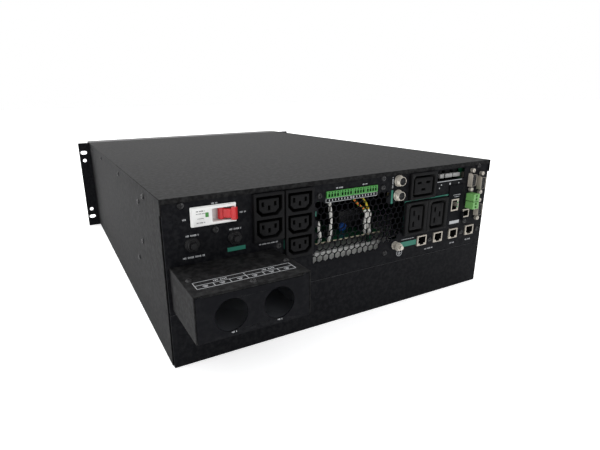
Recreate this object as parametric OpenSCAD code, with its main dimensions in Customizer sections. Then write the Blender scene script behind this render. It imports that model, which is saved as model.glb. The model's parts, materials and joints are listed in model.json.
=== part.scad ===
// Rackmount UPS, four rack units high, seen from the front along +Y.
// +X is to the right of a person facing the front, +Z is up, and the origin is under the middle of the case.

/* [Case] */
// Width of the case without the rack ears
body_w = 440; // [436:1:442]
// Height of the case and of the rack ears
body_h = 172; // [170:1:176]
// Depth of the steel case, from the back of the bezel to the rear panel
case_d = 583; // [560:1:620]
// Depth of the moulded front bezel
bezel_d = 40; // [34:1:46]
// Thickness of the case sheet
sheet = 1.2; // [1:0.1:1.5]

/* [Rack ears] */
// Width over both rack ears
ear_span = 482.6; // [482.6]
// Distance between the columns of rack holes
rack_hole_pitch = 465.1; // [465.1]
// Thickness of the ear plate
ear_t = 2.5; // [2:0.1:3]

/* [Terminal box] */
// How far the cable terminal box stands out from the rear panel
box_d = 70; // [60:1:80]
// Width of the cable terminal box
box_w = 110; // [108:1:112]
// Height of the cable terminal box
box_h = 43.2; // [42:0.2:44]
// Width of the lid's turned-down front lip
lip_w = 93.3; // [80:0.1:100]
// Diameter of each cable entry hole
entry_dia = 30; // [26:1:32]

/* [Rear grille] */
// Spacing of the hexagonal vent holes
hex_pitch = 8; // [8]
// Width of a vent hole across its flats
hex_flats = 7; // [6.4:0.1:7.2]

/* [Battery drawers] */
// Width of one battery drawer
drawer_w = 206; // [204:1:207]
// Length of one battery drawer behind its front plate
drawer_l = 474; // [468:1:480]

/* [Hidden] */
$fn = 48;
total_d = bezel_d + case_d + box_d;
front_y = -total_d / 2;
case_y = front_y + bezel_d;
sheet_y = case_y + ear_t;
rear_y = case_y + case_d;
half_w = body_w / 2;
inner_w = half_w - sheet;
tray_wall_h = 57.5;
deck_z = 72;
deck_top = deck_z + sheet;
board_z = 88;
board_t = 1.6;

// Rear panel layout: x and z of the centre of each fitting
breaker_at = [169.8, 151.6];
lever_x = 9;
lever_tilt = 46;
reset_at = [[192.4, 125.5], [149.2, 125.5]];
strip_x = [112.4, 76.6];
strip_n = [2, 3];
outlet_top_z = 153;
outlet_pitch = 23.5;
plate_w = 34.2;
plate_out = 4.3;
big_outlet_at = [[-98.4, 150.4, 0], [-90.3, 110.6, 90], [-126.3, 110.6, 90]];
big_plate = [41.6, 35.6];
level_plate_h = 32.6;
sensor_at = [[-60.5, 160], [-60.5, 142.6]];
ground_at = [-61, 79.8];
header_x = 6.75;
header_z = 154.8;
header_n = 4;
header_w = 17.5;
header_h = 7.6;
jack_at = [[-106, 78.6], [-134.5, 78.6], [-162.5, 78.8], [-194, 79]];
card_jack_at = [-160, 118];
dsub_at = [[-186, 148.4], [-204.3, 143], [-204.3, 107]];
plug_at = [[-186.5, 126.4], [-186.5, 116]];
usb_at = [-183.4, 103.8];
bay_at = [-149.5, 159];
bay_size = [48, 13];
box_x = 160.5;
box_z = 63.3;
block_z = 73.7;
box_hole_x = [22.8, -22.7];
box_hole_z = 20;
panel_screw_at = [[200.5, 164], [168.5, 136.5], [50.5, 155], [-37, 165], [-37, 154.6], [-198.5, 166],
                  [-120, 77.6], [-178.2, 78], [-210, 78], [-183, 92.5], [-45.7, 72.5], [100.5, 108.5]];
side_screw_at = [[-68, 161.5], [-95, 150.5], [-92, 106.5], [-125, 77], [-222, 161.5],
                 [-400, 161.5], [-540, 161.5]];
fan_x = [-158, -70, 18];
fan_z = 122;
fan_size = 80;
fan_t = 25;
display_x = 143;
display_z = 136;
window_size = [76, 42];
button_x = [111, 132.3, 153.6, 174.9];
button_z = 98;
power_at = [200, 98];
drawer_x = [-105.6, 105.6];
drawer_z = 3;
drawer_h = 67.5;
cell_size = [98, 151, 65];
cell_n = 3;
face_y = front_y + 24;
fan_y = sheet_y + sheet + 0.4;
// Radius and corner points of each lead between the rear fittings and the board
lead_routes = [
    [1.6, [[56, 262, 128], [48, 261, 122], [44, 262, 112], [45, 256, 102], [43, 244, 95], [42, 238, 90.5]]],
    [1.6, [[30, 263, 146], [28, 262, 138], [26.5, 261, 128], [24, 258, 116], [22, 246, 100], [21, 240, 90.5]]],
    [1.5, [[6, 263, 148], [-4, 262, 142], [-14, 261, 134], [-21, 260, 126]]],
    [1.5, [[-10, 263, 148], [-20, 262, 142], [-26, 261, 134], [-28.5, 260, 126]]],
    [2.1, [[-21, 260, 126], [-24, 260, 118], [-22, 256, 108], [-27, 246, 99], [-30, 240, 90.5]]],
    [2.1, [[-28.5, 260, 126], [-31, 260, 117], [-28, 256, 108], [-35, 254, 100], [-40, 248, 92], [-41, 240, 90.5]]]
];

// ---------------------------------------------------------------- helpers

// Local X runs right as seen from behind, local Y up, local Z out of the rear panel.
module on_rear(x, z, out = 0) {
    translate([x, rear_y + out, z]) rotate([90, 0, 180]) children();
}

// Local X runs right as seen from the front, local Y up, local Z out of the front.
module on_front(x, z, out = 0) {
    translate([x, front_y - out, z]) rotate([90, 0, 0]) children();
}

module box(lo, hi) {
    translate(lo) cube(hi - lo);
}

module rounded(w, h, r) {
    square([w - 2 * r, h], center = true);
    square([w, h - 2 * r], center = true);
    for (sx = [-1, 1], sy = [-1, 1])
        translate([sx * (w / 2 - r), sy * (h / 2 - r)]) circle(r);
}

module slab(w, h, r, t) {
    linear_extrude(t) rounded(w, h, r);
}

module slot(length, width) {
    square([length - width, width], center = true);
    for (s = [-1, 1]) translate([s * (length - width) / 2, 0]) circle(d = width);
}

// A ring of wire, tube or winding
module torus(ring_r, wire_r) {
    rotate_extrude() translate([ring_r, 0]) circle(wire_r);
}

// Pan-head cross-recess screw on a face at z = 0, with its shank below
module screw(head_d, head_h, shank_d, shank_l) {
    difference() {
        cylinder(d1 = head_d, d2 = head_d * 0.72, h = head_h);
        for (a = [0, 90]) rotate(a)
            translate([-head_d * 0.29, -0.45, head_h * 0.35]) cube([head_d * 0.58, 0.9, head_h]);
    }
    translate([0, 0, -shank_l]) cylinder(d = shank_d, h = shank_l);
}

// Hexagon holes of the vent pattern that lie inside a box [x0, z0, x1, z1], seen from behind or in front
module vents(x0, z0, x1, z1) {
    row_h = hex_pitch * sqrt(3) / 2;
    for (row = [ceil(z0 / row_h) : floor(z1 / row_h)])
        for (k = [ceil((x0 - (row % 2) * hex_pitch / 2) / hex_pitch)
                  : floor((x1 - (row % 2) * hex_pitch / 2) / hex_pitch)])
            translate([k * hex_pitch + (row % 2) * hex_pitch / 2, row * row_h])
                rotate(30) circle(d = hex_flats / cos(30), $fn = 6);
}

// ---------------------------------------------------------------- steel case

// Floor, side walls and blank lower rear wall, folded from one sheet
module base_tray() color("#1b1b1d") {
    tray_half = inner_w - 0.3;
    box([-tray_half, sheet_y, 0], [tray_half, rear_y, sheet]);
    box([-tray_half, rear_y - sheet, 0], [tray_half, rear_y, tray_wall_h]);
    for (s = [-1, 1])
        translate([s * (tray_half - sheet / 2), (sheet_y + rear_y) / 2, tray_wall_h / 2])
            cube([sheet, rear_y - sheet_y, tray_wall_h], center = true);
}

// Top and both sides folded from one sheet, with a lip over the rear panel
module top_cover() color("#4a4a4a") difference() {
    lip_y = rear_y + 1.4;
    lip_h = 5;
    union() {
        box([-half_w, sheet_y, body_h - sheet], [half_w, lip_y, body_h]);
        box([-half_w, rear_y + 0.2, body_h - lip_h], [half_w, lip_y, body_h]);
        for (s = [0, 1]) mirror([s, 0, 0]) {
            box([inner_w, sheet_y, 1.5], [half_w, rear_y - 3, body_h]);
            box([inner_w, rear_y - 5, 156.5], [half_w, lip_y, body_h]);
        }
    }
    for (p = side_screw_at)
        translate([0, rear_y + p[0], p[1]]) rotate([0, 90, 0])
            cylinder(d = 3.6, h = 2 * body_w, center = true);
    for (p = panel_screw_at)
        on_rear(p[0], p[1], 0.1) cylinder(d = 7.2, h = 3);
}

// Plate that carries every rear fitting, with the field of hexagonal vents
module rear_panel() color("#1b1b1d") {
    edge = inner_w - 0.3;
    low_z = tray_wall_h + 0.4;
    high_z = body_h - sheet - 0.2;
    difference() {
        union() {
            box([-edge, rear_y - sheet, low_z], [edge, rear_y, high_z]);
            for (s = [0, 1]) mirror([s, 0, 0])
                box([edge - sheet, rear_y - 14, low_z + 1], [edge, rear_y, high_z - 2]);
        }
        on_rear(0, 0, -2) linear_extrude(4) rear_openings();
    }
}

// Everything punched through the rear panel, seen from behind
module rear_openings() {
    difference() {
        union() {
            vents(-55, 91, 46, 147);
            vents(46.1, 91, 73, 134);
            vents(-78, 84, 66, 91);
            vents(-73, 77, 37, 84);
        }
        translate([-strip_x[1], outlet_top_z]) square([plate_w + 4, 200], center = true);
        translate([-header_x, header_z - 2]) square([76, 14], center = true);
        translate([-ground_at[0], ground_at[1]]) circle(8);
    }
    translate([-breaker_at[0], breaker_at[1]]) square([44.4, 18.2], center = true);
    for (p = reset_at) translate([-p[0], p[1]]) circle(d = 10.4);
    for (i = [0, 1])
        translate([-strip_x[i], outlet_top_z - (strip_n[i] - 1) * outlet_pitch / 2])
            square([31.6, (strip_n[i] - 1) * outlet_pitch + 23.4], center = true);
    for (p = big_outlet_at)
        translate([-p[0], p[1]]) rotate(p[2]) square([38, 28.6], center = true);
    for (p = sensor_at) translate([-p[0], p[1]]) circle(d = 10.9);
    translate([-ground_at[0], ground_at[1]]) circle(d = 5.4);
    translate([-header_x, header_z]) square([header_n * header_w + 0.8, header_h + 0.6], center = true);
    for (p = jack_at) translate([-p[0], p[1]]) square([16.4, 13.6], center = true);
    translate([-card_jack_at[0] + 1.2, card_jack_at[1]]) square([25.5, 50], center = true);
    for (p = dsub_at) {
        translate([-p[0], p[1]]) square([9, 17.6], center = true);
        for (s = [-1, 1]) translate([-p[0], p[1] + s * 12.5]) circle(d = 3.3);
    }
    for (p = plug_at) translate([-p[0], p[1]]) square([9.6, 9.2], center = true);
    translate([-usb_at[0], usb_at[1]]) square([12.8, 11.8], center = true);
    translate([-bay_at[0], bay_at[1]]) square(bay_size, center = true);
    translate([-box_x, block_z + 13.2]) square([90, 27], center = true);
    for (p = panel_screw_at) translate([-p[0], p[1]]) circle(d = 3.3);
}

// Galvanised shelf under the electronics with an upturned stop before the board edge
module middle_deck() color("#9a9d9f") {
    box([-215, -296, deck_z], [215, rear_y - 42, deck_top]);
    difference() {
        box([-86, rear_y - 44, deck_z], [215, rear_y - 2.5, deck_top]);
        for (p = panel_screw_at) on_rear(p[0], p[1], -7) cylinder(d = 5, h = 6);
    }
    box([-64, rear_y - 31.2, deck_top], [80, rear_y - 30, deck_top + 4]);
    for (x = [-214, 213])
        box([x, -296, deck_top], [x + 1, rear_y - 20, deck_top + 12]);
}

// Upright plate between the two battery drawers
module centre_web() color("#9a9d9f") {
    box([-0.6, -300, sheet], [0.6, 180, deck_z]);
    box([-12, 180, sheet], [12, 181.2, deck_z]);
}

// Front plate of the case, open for the fans and the battery drawers
module front_bulkhead() color("#1b1b1d") difference() {
    box([-216, sheet_y, sheet], [216, sheet_y + sheet, body_h - 2]);
    for (x = drawer_x)
        box([x - drawer_w / 2 - 1, sheet_y - 1, 2], [x + drawer_w / 2 + 1, sheet_y + 4, 71]);
    for (x = fan_x)
        translate([x, sheet_y - 1, fan_z]) rotate([-90, 0, 0]) cylinder(d = 76, h = 4);
    box([74, sheet_y - 1, 84], [214, sheet_y + 4, 164]);
}

// Flat bracket clamped between the case and the bezel, with the rack holes outside
module rack_ear() color("#202023") difference() {
    box([210, case_y, 0], [ear_span / 2, sheet_y, body_h]);
    for (s = [-1, 1]) {
        translate([rack_hole_pitch / 2, case_y - 1, body_h / 2 + s * 66.675])
            rotate([-90, 0, 0]) linear_extrude(5) slot(12, 7);
        translate([rack_hole_pitch / 2, case_y - 1, body_h / 2 + s * 50.8])
            rotate([-90, 0, 0]) cylinder(d = 7, h = 5);
    }
}

module rack_ear_right() {
    rack_ear();
}

module rack_ear_left() {
    mirror([1, 0, 0]) rack_ear();
}

// Screws through the sides of the case
module case_screws() color("#26262a") for (s = [0, 1], p = side_screw_at) mirror([s, 0, 0])
    translate([half_w, rear_y + p[0], p[1]]) rotate([0, 90, 0]) screw(6.4, 1.5, 3.2, 3);

module panel_screws() color("#26262a") for (p = panel_screw_at) {
    on_rear(p[0], p[1]) screw(6.6, 1.6, 3, 5);
}

// ---------------------------------------------------------------- front

// Moulded front frame, open for the fans, the display, the buttons and the drawers
module front_bezel() color("#202124") {
    back = case_y - 0.2;
    wall = 3;
    difference() {
        box([-half_w, front_y, 0.2], [half_w, back, body_h]);
        box([-half_w + wall, front_y + wall, wall], [half_w - wall, back + 1, body_h - wall]);
        for (x = drawer_x)
            box([x - drawer_w / 2 - 1, front_y - 1, 2], [x + drawer_w / 2 + 1, back + 1, 71.5]);
        box([-212, front_y - 1, 80], [60, front_y + 5, 164]);
        on_front(display_x, display_z, -6) linear_extrude(8) rounded(window_size[0], window_size[1], 3);
        for (x = button_x) on_front(x, button_z, -6) linear_extrude(8) rounded(16.6, 9.6, 2);
        on_front(power_at[0], power_at[1], -6) cylinder(d = 15.6, h = 8);
    }
    for (x = [-212 : 8 : 60])
        box([x - 0.9, front_y, 79], [x + 0.9, front_y + 9, 165]);
    for (z = [80, 108, 136, 164])
        box([-213, front_y + 6, z - 1], [61, front_y + 9, z + 1]);
    box([-1, front_y + 1, 1], [1, back, 80]);
    box([61, front_y + wall - 1, 76], [63, back - 6, 169]);
}

module display_window() color("#0c1418")
    on_front(display_x, display_z, -4.4) slab(window_size[0] - 0.4, window_size[1] - 0.4, 2.8, 3.6);

// Board behind the display, with the switch body behind each button
module display_board() color("#1e5a34") {
    on_front(148, 124, -17) slab(128, 78, 2, board_t);
    for (x = button_x) on_front(x, button_z, -15.3) slab(6, 6, 1, 4);
    on_front(power_at[0], power_at[1], -15.3) slab(8, 8, 1, 4);
    on_front(display_x, display_z, -15.3) slab(78, 44, 1, 8);
}

module nav_button(i) color("#3a3b3f") on_front(button_x[i], button_z, -7) {
    slab(16, 9, 1.8, 6.8);
    translate([0, 0, -1.6]) slab(20, 13, 2, 2.2);
    translate([0, 0, -2.6]) cylinder(d = 4, h = 2);
}

module nav_button_1() {
    nav_button(0);
}

module nav_button_2() {
    nav_button(1);
}

module nav_button_3() {
    nav_button(2);
}

module nav_button_4() {
    nav_button(3);
}

module power_button() color("#3a3b3f") on_front(power_at[0], power_at[1], -7) {
    cylinder(d = 15, h = 6.8);
    translate([0, 0, -1.6]) cylinder(d = 19, h = 2.2);
    translate([0, 0, -2.6]) cylinder(d = 5, h = 2);
}

// ---------------------------------------------------------------- breakers

// Two-pole mains breaker with a gap for its lever
module mains_breaker() color("#d9d9d6") on_rear(breaker_at[0], breaker_at[1]) difference() {
    union() {
        translate([0, 0, -44]) slab(43.8, 17.6, 1, 47.5);
        translate([0, 0, 0.2]) slab(45.6, 19, 1.2, 1.2);
    }
    translate([lever_x - 11.2, -6.4, -8]) cube([22.4, 12.8, 20]);
    translate([lever_x, 0, -3.2]) rotate([90, 0, 0]) cylinder(d = 3.06, h = 16, center = true);
}

// Rocker lever on an upright pin inside the breaker
module mains_breaker_lever() color("#c8282f") on_rear(breaker_at[0] - lever_x, breaker_at[1], -3.2) {
    rotate([90, 0, 0]) cylinder(d = 3, h = 15, center = true);
    rotate([90, 0, 0]) cylinder(d = 7, h = 11.6, center = true);
    rotate([0, lever_tilt, 0]) {
        translate([-2, -4.4, 0]) cube([4, 8.8, 14]);
        translate([-2.6, -6, 11]) cube([5.2, 12, 5]);
    }
}

// Thermal breakers of the socket groups, each a body behind the panel with a threaded neck
module reset_breakers() color("#161618") for (p = reset_at) on_rear(p[0], p[1]) difference() {
    union() {
        translate([0, 0, -30]) slab(14, 22, 1, 28.6);
        translate([0, 0, -4]) cylinder(d = 10, h = 8.2);
    }
    translate([0, 0, -12]) cylinder(d = 6.1, h = 20);
}

module reset_breaker_nuts() color("#232326") for (p = reset_at) on_rear(p[0], p[1], 0.1) difference() {
    union() {
        cylinder(d = 14, h = 1);
        cylinder(d = 14, h = 3.2, $fn = 6);
    }
    translate([0, 0, -1]) cylinder(d = 10.2, h = 6);
}

module reset_button(i) color("#101012") on_rear(reset_at[i][0], reset_at[i][1]) {
    translate([0, 0, -5]) cylinder(d = 6, h = 12.4);
}

module reset_button_left() {
    reset_button(0);
}

module reset_button_right() {
    reset_button(1);
}

// ---------------------------------------------------------------- outlets

// Opening of a ten-ampere outlet: two corners cut off at the bottom
module small_outlet_shape(w, h, cut) {
    polygon([[-w / 2, h / 2], [w / 2, h / 2], [w / 2, -h / 2 + cut], [w / 2 - cut, -h / 2],
             [-w / 2 + cut, -h / 2], [-w / 2, -h / 2 + cut]]);
}

// Column of outlets in one moulding, counted down from the top one
module outlet_strip(i) color("#262628") on_rear(strip_x[i], outlet_top_z) {
    n = strip_n[i];
    mid = -(n - 1) * outlet_pitch / 2;
    difference() {
        union() {
            translate([0, mid, 0.2]) slab(plate_w, (n - 1) * outlet_pitch + 26.6, 1.5, plate_out - 0.2);
            translate([0, mid, -24]) slab(31, (n - 1) * outlet_pitch + 22.8, 1, 25);
        }
        for (k = [0 : n - 1]) translate([0, -k * outlet_pitch, -16])
            linear_extrude(40) small_outlet_shape(28.6, 20.2, 5.6);
    }
    for (k = [0 : n - 1]) translate([0, -k * outlet_pitch, -17]) difference() {
        linear_extrude(17 + plate_out - 0.8) small_outlet_shape(22.2, 14.4, 4);
        small_contact_holes() translate([0, 0, 1.4]) cube([2.6, 4.6, 40], center = true);
    }
}

module small_contact_holes() {
    for (x = [-7, 7]) translate([x, 2, 20]) children();
    translate([0, -2, 20]) children();
}

module outlet_strip_two() {
    outlet_strip(0);
}

module outlet_strip_three() {
    outlet_strip(1);
}

// Sixteen-ampere outlet with a rectangular opening
module large_outlet(p, plate_h) color("#262628") on_rear(p[0], p[1]) rotate(p[2]) {
    difference() {
        union() {
            translate([0, 0, 0.2]) slab(big_plate[0], plate_h, 1.5, plate_out - 0.2);
            translate([0, 0, -24]) slab(37.4, 28, 1, 25);
        }
        translate([0, 0, -16]) slab(35, 25.6, 4, 40);
    }
    translate([0, 0, -17]) difference() {
        slab(29, 20.4, 2.5, 17 + plate_out - 0.8);
        large_contact_holes() translate([0, 0, 1.4]) cube([6.6, 2.6, 40], center = true);
    }
}

module large_contact_holes() {
    for (x = [-7, 7]) translate([x, 4, 20]) children();
    translate([0, -4.4, 20]) children();
}

module large_outlet_level() {
    large_outlet(big_outlet_at[0], level_plate_h);
}

module large_outlets_upright() {
    large_outlet(big_outlet_at[1], big_plate[1]);
    large_outlet(big_outlet_at[2], big_plate[1]);
}

// Sprung metal contacts deep inside the outlets
module outlet_contacts() color("#b8a878") {
    for (i = [0, 1], k = [0 : strip_n[i] - 1])
        on_rear(strip_x[i], outlet_top_z - k * outlet_pitch, -17)
            small_contact_holes() translate([0, 0, -14]) cube([2, 4, 9], center = true);
    for (p = big_outlet_at)
        on_rear(p[0], p[1], -17) rotate(p[2])
            large_contact_holes() translate([0, 0, -14]) cube([6, 2, 9], center = true);
}

// ---------------------------------------------------------------- connectors

// Four four-way wire headers side by side, open for the plugs
module signal_headers() color("#57a34c") on_rear(header_x, header_z) difference() {
    for (i = [0 : header_n - 1])
        translate([(i - (header_n - 1) / 2) * header_w, 0, -11])
            linear_extrude(12.4) square([header_w - 0.3, header_h], center = true);
    for (i = [0 : header_n - 1], k = [0 : 3])
        translate([(i - (header_n - 1) / 2) * header_w + (k - 1.5) * 3.81, 0, -8]) {
            translate([-1.15, -2.4, 0]) cube([2.3, 3.4, 20]);
            translate([-0.7, 1.8, 6]) cube([1.4, 1.2, 20]);
        }
}

// Round shielded sockets: shell through the panel, plastic insert and pins
module sensor_sockets() color("#b9b2a6") for (p = sensor_at) on_rear(p[0], p[1]) {
    difference() {
        union() {
            translate([0, 0, -14]) cylinder(d = 10.6, h = 21);
            translate([0, 0, -3]) cylinder(d = 13, h = 1.7);
        }
        translate([0, 0, 1]) cylinder(d = 9, h = 20);
    }
    difference() {
        translate([0, 0, 0.5]) cylinder(d = 8.2, h = 6);
        for (a = [45 : 90 : 315]) rotate(a) translate([2.1, 0, 3]) cylinder(d = 1, h = 5);
    }
}

module sensor_socket_nuts() color("#c4bdb0") for (p = sensor_at) on_rear(p[0], p[1], 0.1) difference() {
    union() {
        cylinder(d = 13.6, h = 0.8);
        rotate(30) cylinder(d = 13.2, h = 3.2, $fn = 6);
    }
    translate([0, 0, -1]) cylinder(d = 10.8, h = 6);
}

// Threaded stud for the protective earth lead
module ground_stud() color("#c4bdb0") on_rear(ground_at[0], ground_at[1]) {
    translate([0, 0, -6]) cylinder(d = 4.4, h = 16.2);
    translate([0, 0, 10.2]) cylinder(d = 5, h = 2.8);
    translate([0, 0, -3.4]) cylinder(d = 9.2, h = 2, $fn = 6);
}

module ground_nuts() color("#b9b2a6") on_rear(ground_at[0], ground_at[1], 0.1) difference() {
    union() {
        cylinder(d = 10, h = 1);
        translate([0, 0, 1]) cylinder(d = 9.2, h = 3.2, $fn = 6);
        translate([0, 0, 6]) cylinder(d = 10, h = 0.9);
        translate([0, 0, 6.9]) cylinder(d = 9.2, h = 3, $fn = 6);
    }
    translate([0, 0, -1]) cylinder(d = 5.2, h = 16);
}

// Shielded eight-pin jack with its opening outwards and its latch notch down
module jack() {
    difference() {
        translate([0, 0, -15]) linear_extrude(16.4) square([15.8, 13.2], center = true);
        translate([-6, -3.4, -12]) cube([12, 8.4, 20]);
        translate([-3.2, -5.4, -12]) cube([6.4, 3, 20]);
    }
    for (k = [0 : 7]) translate([(k - 3.5) * 1.02 - 0.2, 1.6, -11.9]) cube([0.4, 3.2, 7]);
}

module network_jacks() color("#8f867c") for (p = jack_at) on_rear(p[0], p[1]) jack();

// Plug-in card with its own plate, board, finger tab and jack
module network_card() color("#2b2b2e") {
    on_rear(card_jack_at[0] - 1.2, card_jack_at[1]) {
        difference() {
            translate([0, 0, 0.2]) slab(27.6, 53, 1, 1.2);
            translate([-1.2, 0, -1]) linear_extrude(4) square([13.6, 16.2], center = true);
        }
        translate([11.8, -22, 0.2]) cube([1.2, 12, 5]);
        translate([-9.6, -21, -94]) cube([board_t, 40, 93.6]);
    }
    on_rear(card_jack_at[0], card_jack_at[1]) rotate(90) jack();
}

// Square peripheral port with its tongue
module usb_port() color("#a8a199") on_rear(usb_at[0], usb_at[1]) {
    difference() {
        translate([0, 0, -14]) linear_extrude(15.2) square([12.2, 11.2], center = true);
        translate([0, 0, -12]) linear_extrude(20) square([8.6, 7.8], center = true);
    }
    translate([-2.8, 1.6, -13]) cube([5.6, 1.8, 12]);
}

// Outline of a nine-pin shell, wide end first
module dsub_shape(w, h, slant) {
    polygon([[-w / 2, h / 2], [w / 2, h / 2], [w / 2 - slant, -h / 2], [-w / 2 + slant, -h / 2]]);
}

module dsub_sockets() color("#a8a199") for (p = dsub_at) on_rear(p[0], p[1]) rotate(90) {
    difference() {
        union() {
            translate([0, 0, -2.2]) slab(30.8, 12.4, 1.5, 0.8);
            translate([0, 0, -2]) linear_extrude(8.4) dsub_shape(17, 8.4, 1.4);
            translate([0, 0, -11]) linear_extrude(9) square([19, 10], center = true);
        }
        translate([0, 0, 0.9]) linear_extrude(10) dsub_shape(16, 7.4, 1.3);
        for (s = [-1, 1]) translate([s * 12.5, 0, -4]) cylinder(d = 3.3, h = 4);
    }
    translate([0, 0, 0.5]) difference() {
        linear_extrude(5.6) dsub_shape(15.2, 6.6, 1.2);
        for (k = [0 : 4]) translate([(k - 2) * 2.76, 1.42, 2]) cylinder(d = 1.2, h = 6);
        for (k = [0 : 3]) translate([(k - 1.5) * 2.76, -1.42, 2]) cylinder(d = 1.2, h = 6);
    }
}

// Hexagonal jackscrews beside each nine-pin socket
module dsub_jackscrews() color("#c4bdb0") for (p = dsub_at, s = [-1, 1])
    on_rear(p[0], p[1] + s * 12.5, 0.1) difference() {
        union() {
            cylinder(d = 5.6, h = 4.2, $fn = 6);
            translate([0, 0, -7]) cylinder(d = 2.9, h = 8);
        }
        translate([0, 0, 1.4]) cylinder(d = 2.6, h = 4);
    }

// Two-way plugs with their wire clamps, standing in their headers
module green_plugs() color("#7fb26a") for (p = plug_at) on_rear(p[0], p[1]) difference() {
    union() {
        translate([0, 0, -8]) linear_extrude(8.4) square([8.8, 8.6], center = true);
        translate([0, 0, 0.3]) linear_extrude(12) square([11, 9.5], center = true);
    }
    for (s = [-1, 1]) {
        translate([0, s * 2.2, 6]) linear_extrude(10) square([3.4, 2.8], center = true);
        translate([3, s * 2.2, 6]) rotate([0, 90, 0]) cylinder(d = 2.6, h = 6);
    }
}

// Recessed connectors behind the small window
module accessory_bay() color("#8a8a88") on_rear(bay_at[0], bay_at[1]) {
    translate([0, 0, -30]) linear_extrude(1.6) square([bay_size[0] + 4, bay_size[1] + 3.4], center = true);
    for (p = [[-9.5, 6.4], [2.8, 12.6], [16.8, 12.6]]) {
        translate([p[0] - p[1] / 2, -5.4, -28.5]) cube([p[1], 5, 22]);
        translate([p[0] - p[1] / 3, -0.5, -28.5]) cube([p[1] * 2 / 3, 5.4, 19]);
    }
}

// ---------------------------------------------------------------- terminal box

// Folded box over the power terminals, open on top and at the back
module terminal_box() color("#1c1c1e") on_rear(box_x, box_z, 0.2) difference() {
    skin = 1.4;
    w = box_w - 3;
    depth = box_d - 0.2;
    union() {
        difference() {
            translate([-w / 2, 0, 0]) cube([w, box_h - skin - 0.3, depth]);
            translate([-w / 2 + skin, skin, -1]) cube([w - 2 * skin, box_h, depth + 1 - skin]);
            translate([-lip_w / 2 - 0.3, box_h - 2.7, depth - 3]) cube([lip_w + 0.6, 5, 6]);
        }
        for (s = [-1, 1]) translate([s * 49 - 4, 0, 0]) cube([8, 30, skin]);
        translate([-w / 2, box_h - 7, depth - 12]) cube([w, 4, 12]);
    }
    for (x = box_hole_x)
        translate([-x, box_hole_z, depth - 5]) cylinder(d = entry_dia, h = 10);
    for (x = [-48, 48]) translate([x, box_h, 37]) rotate([90, 0, 0]) cylinder(d = 3.2, h = 12);
    translate([0, box_h, 64.6]) rotate([90, 0, 0]) cylinder(d = 3.2, h = 12);
}

// Lid with downturned sides, held by three screws
module terminal_box_cover() color("#2a2a2c") on_rear(box_x, box_z, 0.2) difference() {
    skin = 1.2;
    union() {
        translate([-box_w / 2, box_h - skin, 0]) cube([box_w, skin, box_d - 0.2]);
        for (s = [0, 1]) mirror([s, 0, 0])
            translate([box_w / 2 - skin, 0.4, 0]) cube([skin, box_h - 0.4, box_d - 0.2]);
        translate([-lip_w / 2, box_h - 2.4, box_d - 1.4]) cube([lip_w, 2.4, 1.2]);
    }
    for (x = [-48, 48]) translate([x, box_h + 1, 37]) rotate([90, 0, 0]) cylinder(d = 3.6, h = 6);
    translate([0, box_h + 1, 64.6]) rotate([90, 0, 0]) cylinder(d = 3.6, h = 6);
}

// Six barrier terminals with their clamp screws and the lid screws
module terminal_block() color("#38383b") on_rear(box_x, block_z, 0.4) difference() {
    union() {
        translate([-44, 0, -18]) cube([88, 21, 40]);
        for (k = [0 : 6]) translate([-43.5 + k * 14.1, 0, -17]) cube([1.6, 26, 38]);
    }
    for (k = [0 : 5]) translate([-36 + k * 14.1, 0, 0]) {
        translate([0, 30, 12]) rotate([90, 0, 0]) cylinder(d = 4.2, h = 20);
        translate([0, 8, 14]) cylinder(d = 8, h = 20);
    }
}

module terminal_screws() color("#c4bdb0") on_rear(box_x, block_z, 0.4) {
    for (k = [0 : 5]) translate([-36 + k * 14.1, 21.2, 12]) rotate([-90, 0, 0]) screw(8, 2.6, 3.8, 8);
    for (p = [[-48, 37], [48, 37], [0, 64.6]])
        translate([p[0], box_z + box_h - block_z, p[1] - 0.2]) rotate([-90, 0, 0]) screw(6, 1.5, 3, 6);
}

// ---------------------------------------------------------------- electronics

// Main board on standoffs, wide in front and narrow between the rear fittings
module power_board() color("#1e5a34") {
    difference() {
        union() {
            box([-206, -250, board_z], [206, 170, board_z + board_t]);
            box([-64, 169, board_z], [54, rear_y - 30, board_z + board_t]);
        }
        for (x = fan_x) translate([x, -246, board_z - 1]) cylinder(d = 3, h = 4);
    }
    for (x = [-196, -60, 50, 196], y = [-230, 0, 160])
        translate([x, y, deck_top]) cylinder(d = 6, h = board_z - deck_top);
    for (x = [-56, 46]) translate([x, rear_y - 42, deck_top]) cylinder(d = 6, h = board_z - deck_top);
}

// Two finned blocks along the air flow from the fans
module heatsinks() color("#8d9093") for (s = [-1, 1]) translate([s * 128, -210, board_z + 8]) {
    translate([-45, 0, 0]) cube([90, 300, 6]);
    for (k = [0 : 12]) translate([-45 + k * 7.35, 0, 6]) cube([1.8, 300, 48]);
    for (x = [-40, 36], y = [4, 290]) translate([x, y, -8 + board_t]) cube([4, 6, 8]);
}

module bus_capacitors() color("#22304a") for (x = [-50, -17, 17, 50], y = [-190, -155, -120])
    translate([x, y, board_z + board_t]) {
        cylinder(d = 30, h = 52);
        translate([0, 0, 52]) cylinder(d = 26, h = 1);
    }

// Ring chokes standing on square bases
module power_inductors() color("#8a4a22") for (x = [-42, 42], y = [-70, -8, 54])
    translate([x, y, board_z + board_t]) {
        translate([-24, -24, 0]) cube([48, 48, 4]);
        translate([0, 0, 16]) torus(16, 8);
        translate([0, 0, 3]) cylinder(d = 8, h = 26);
    }

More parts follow.
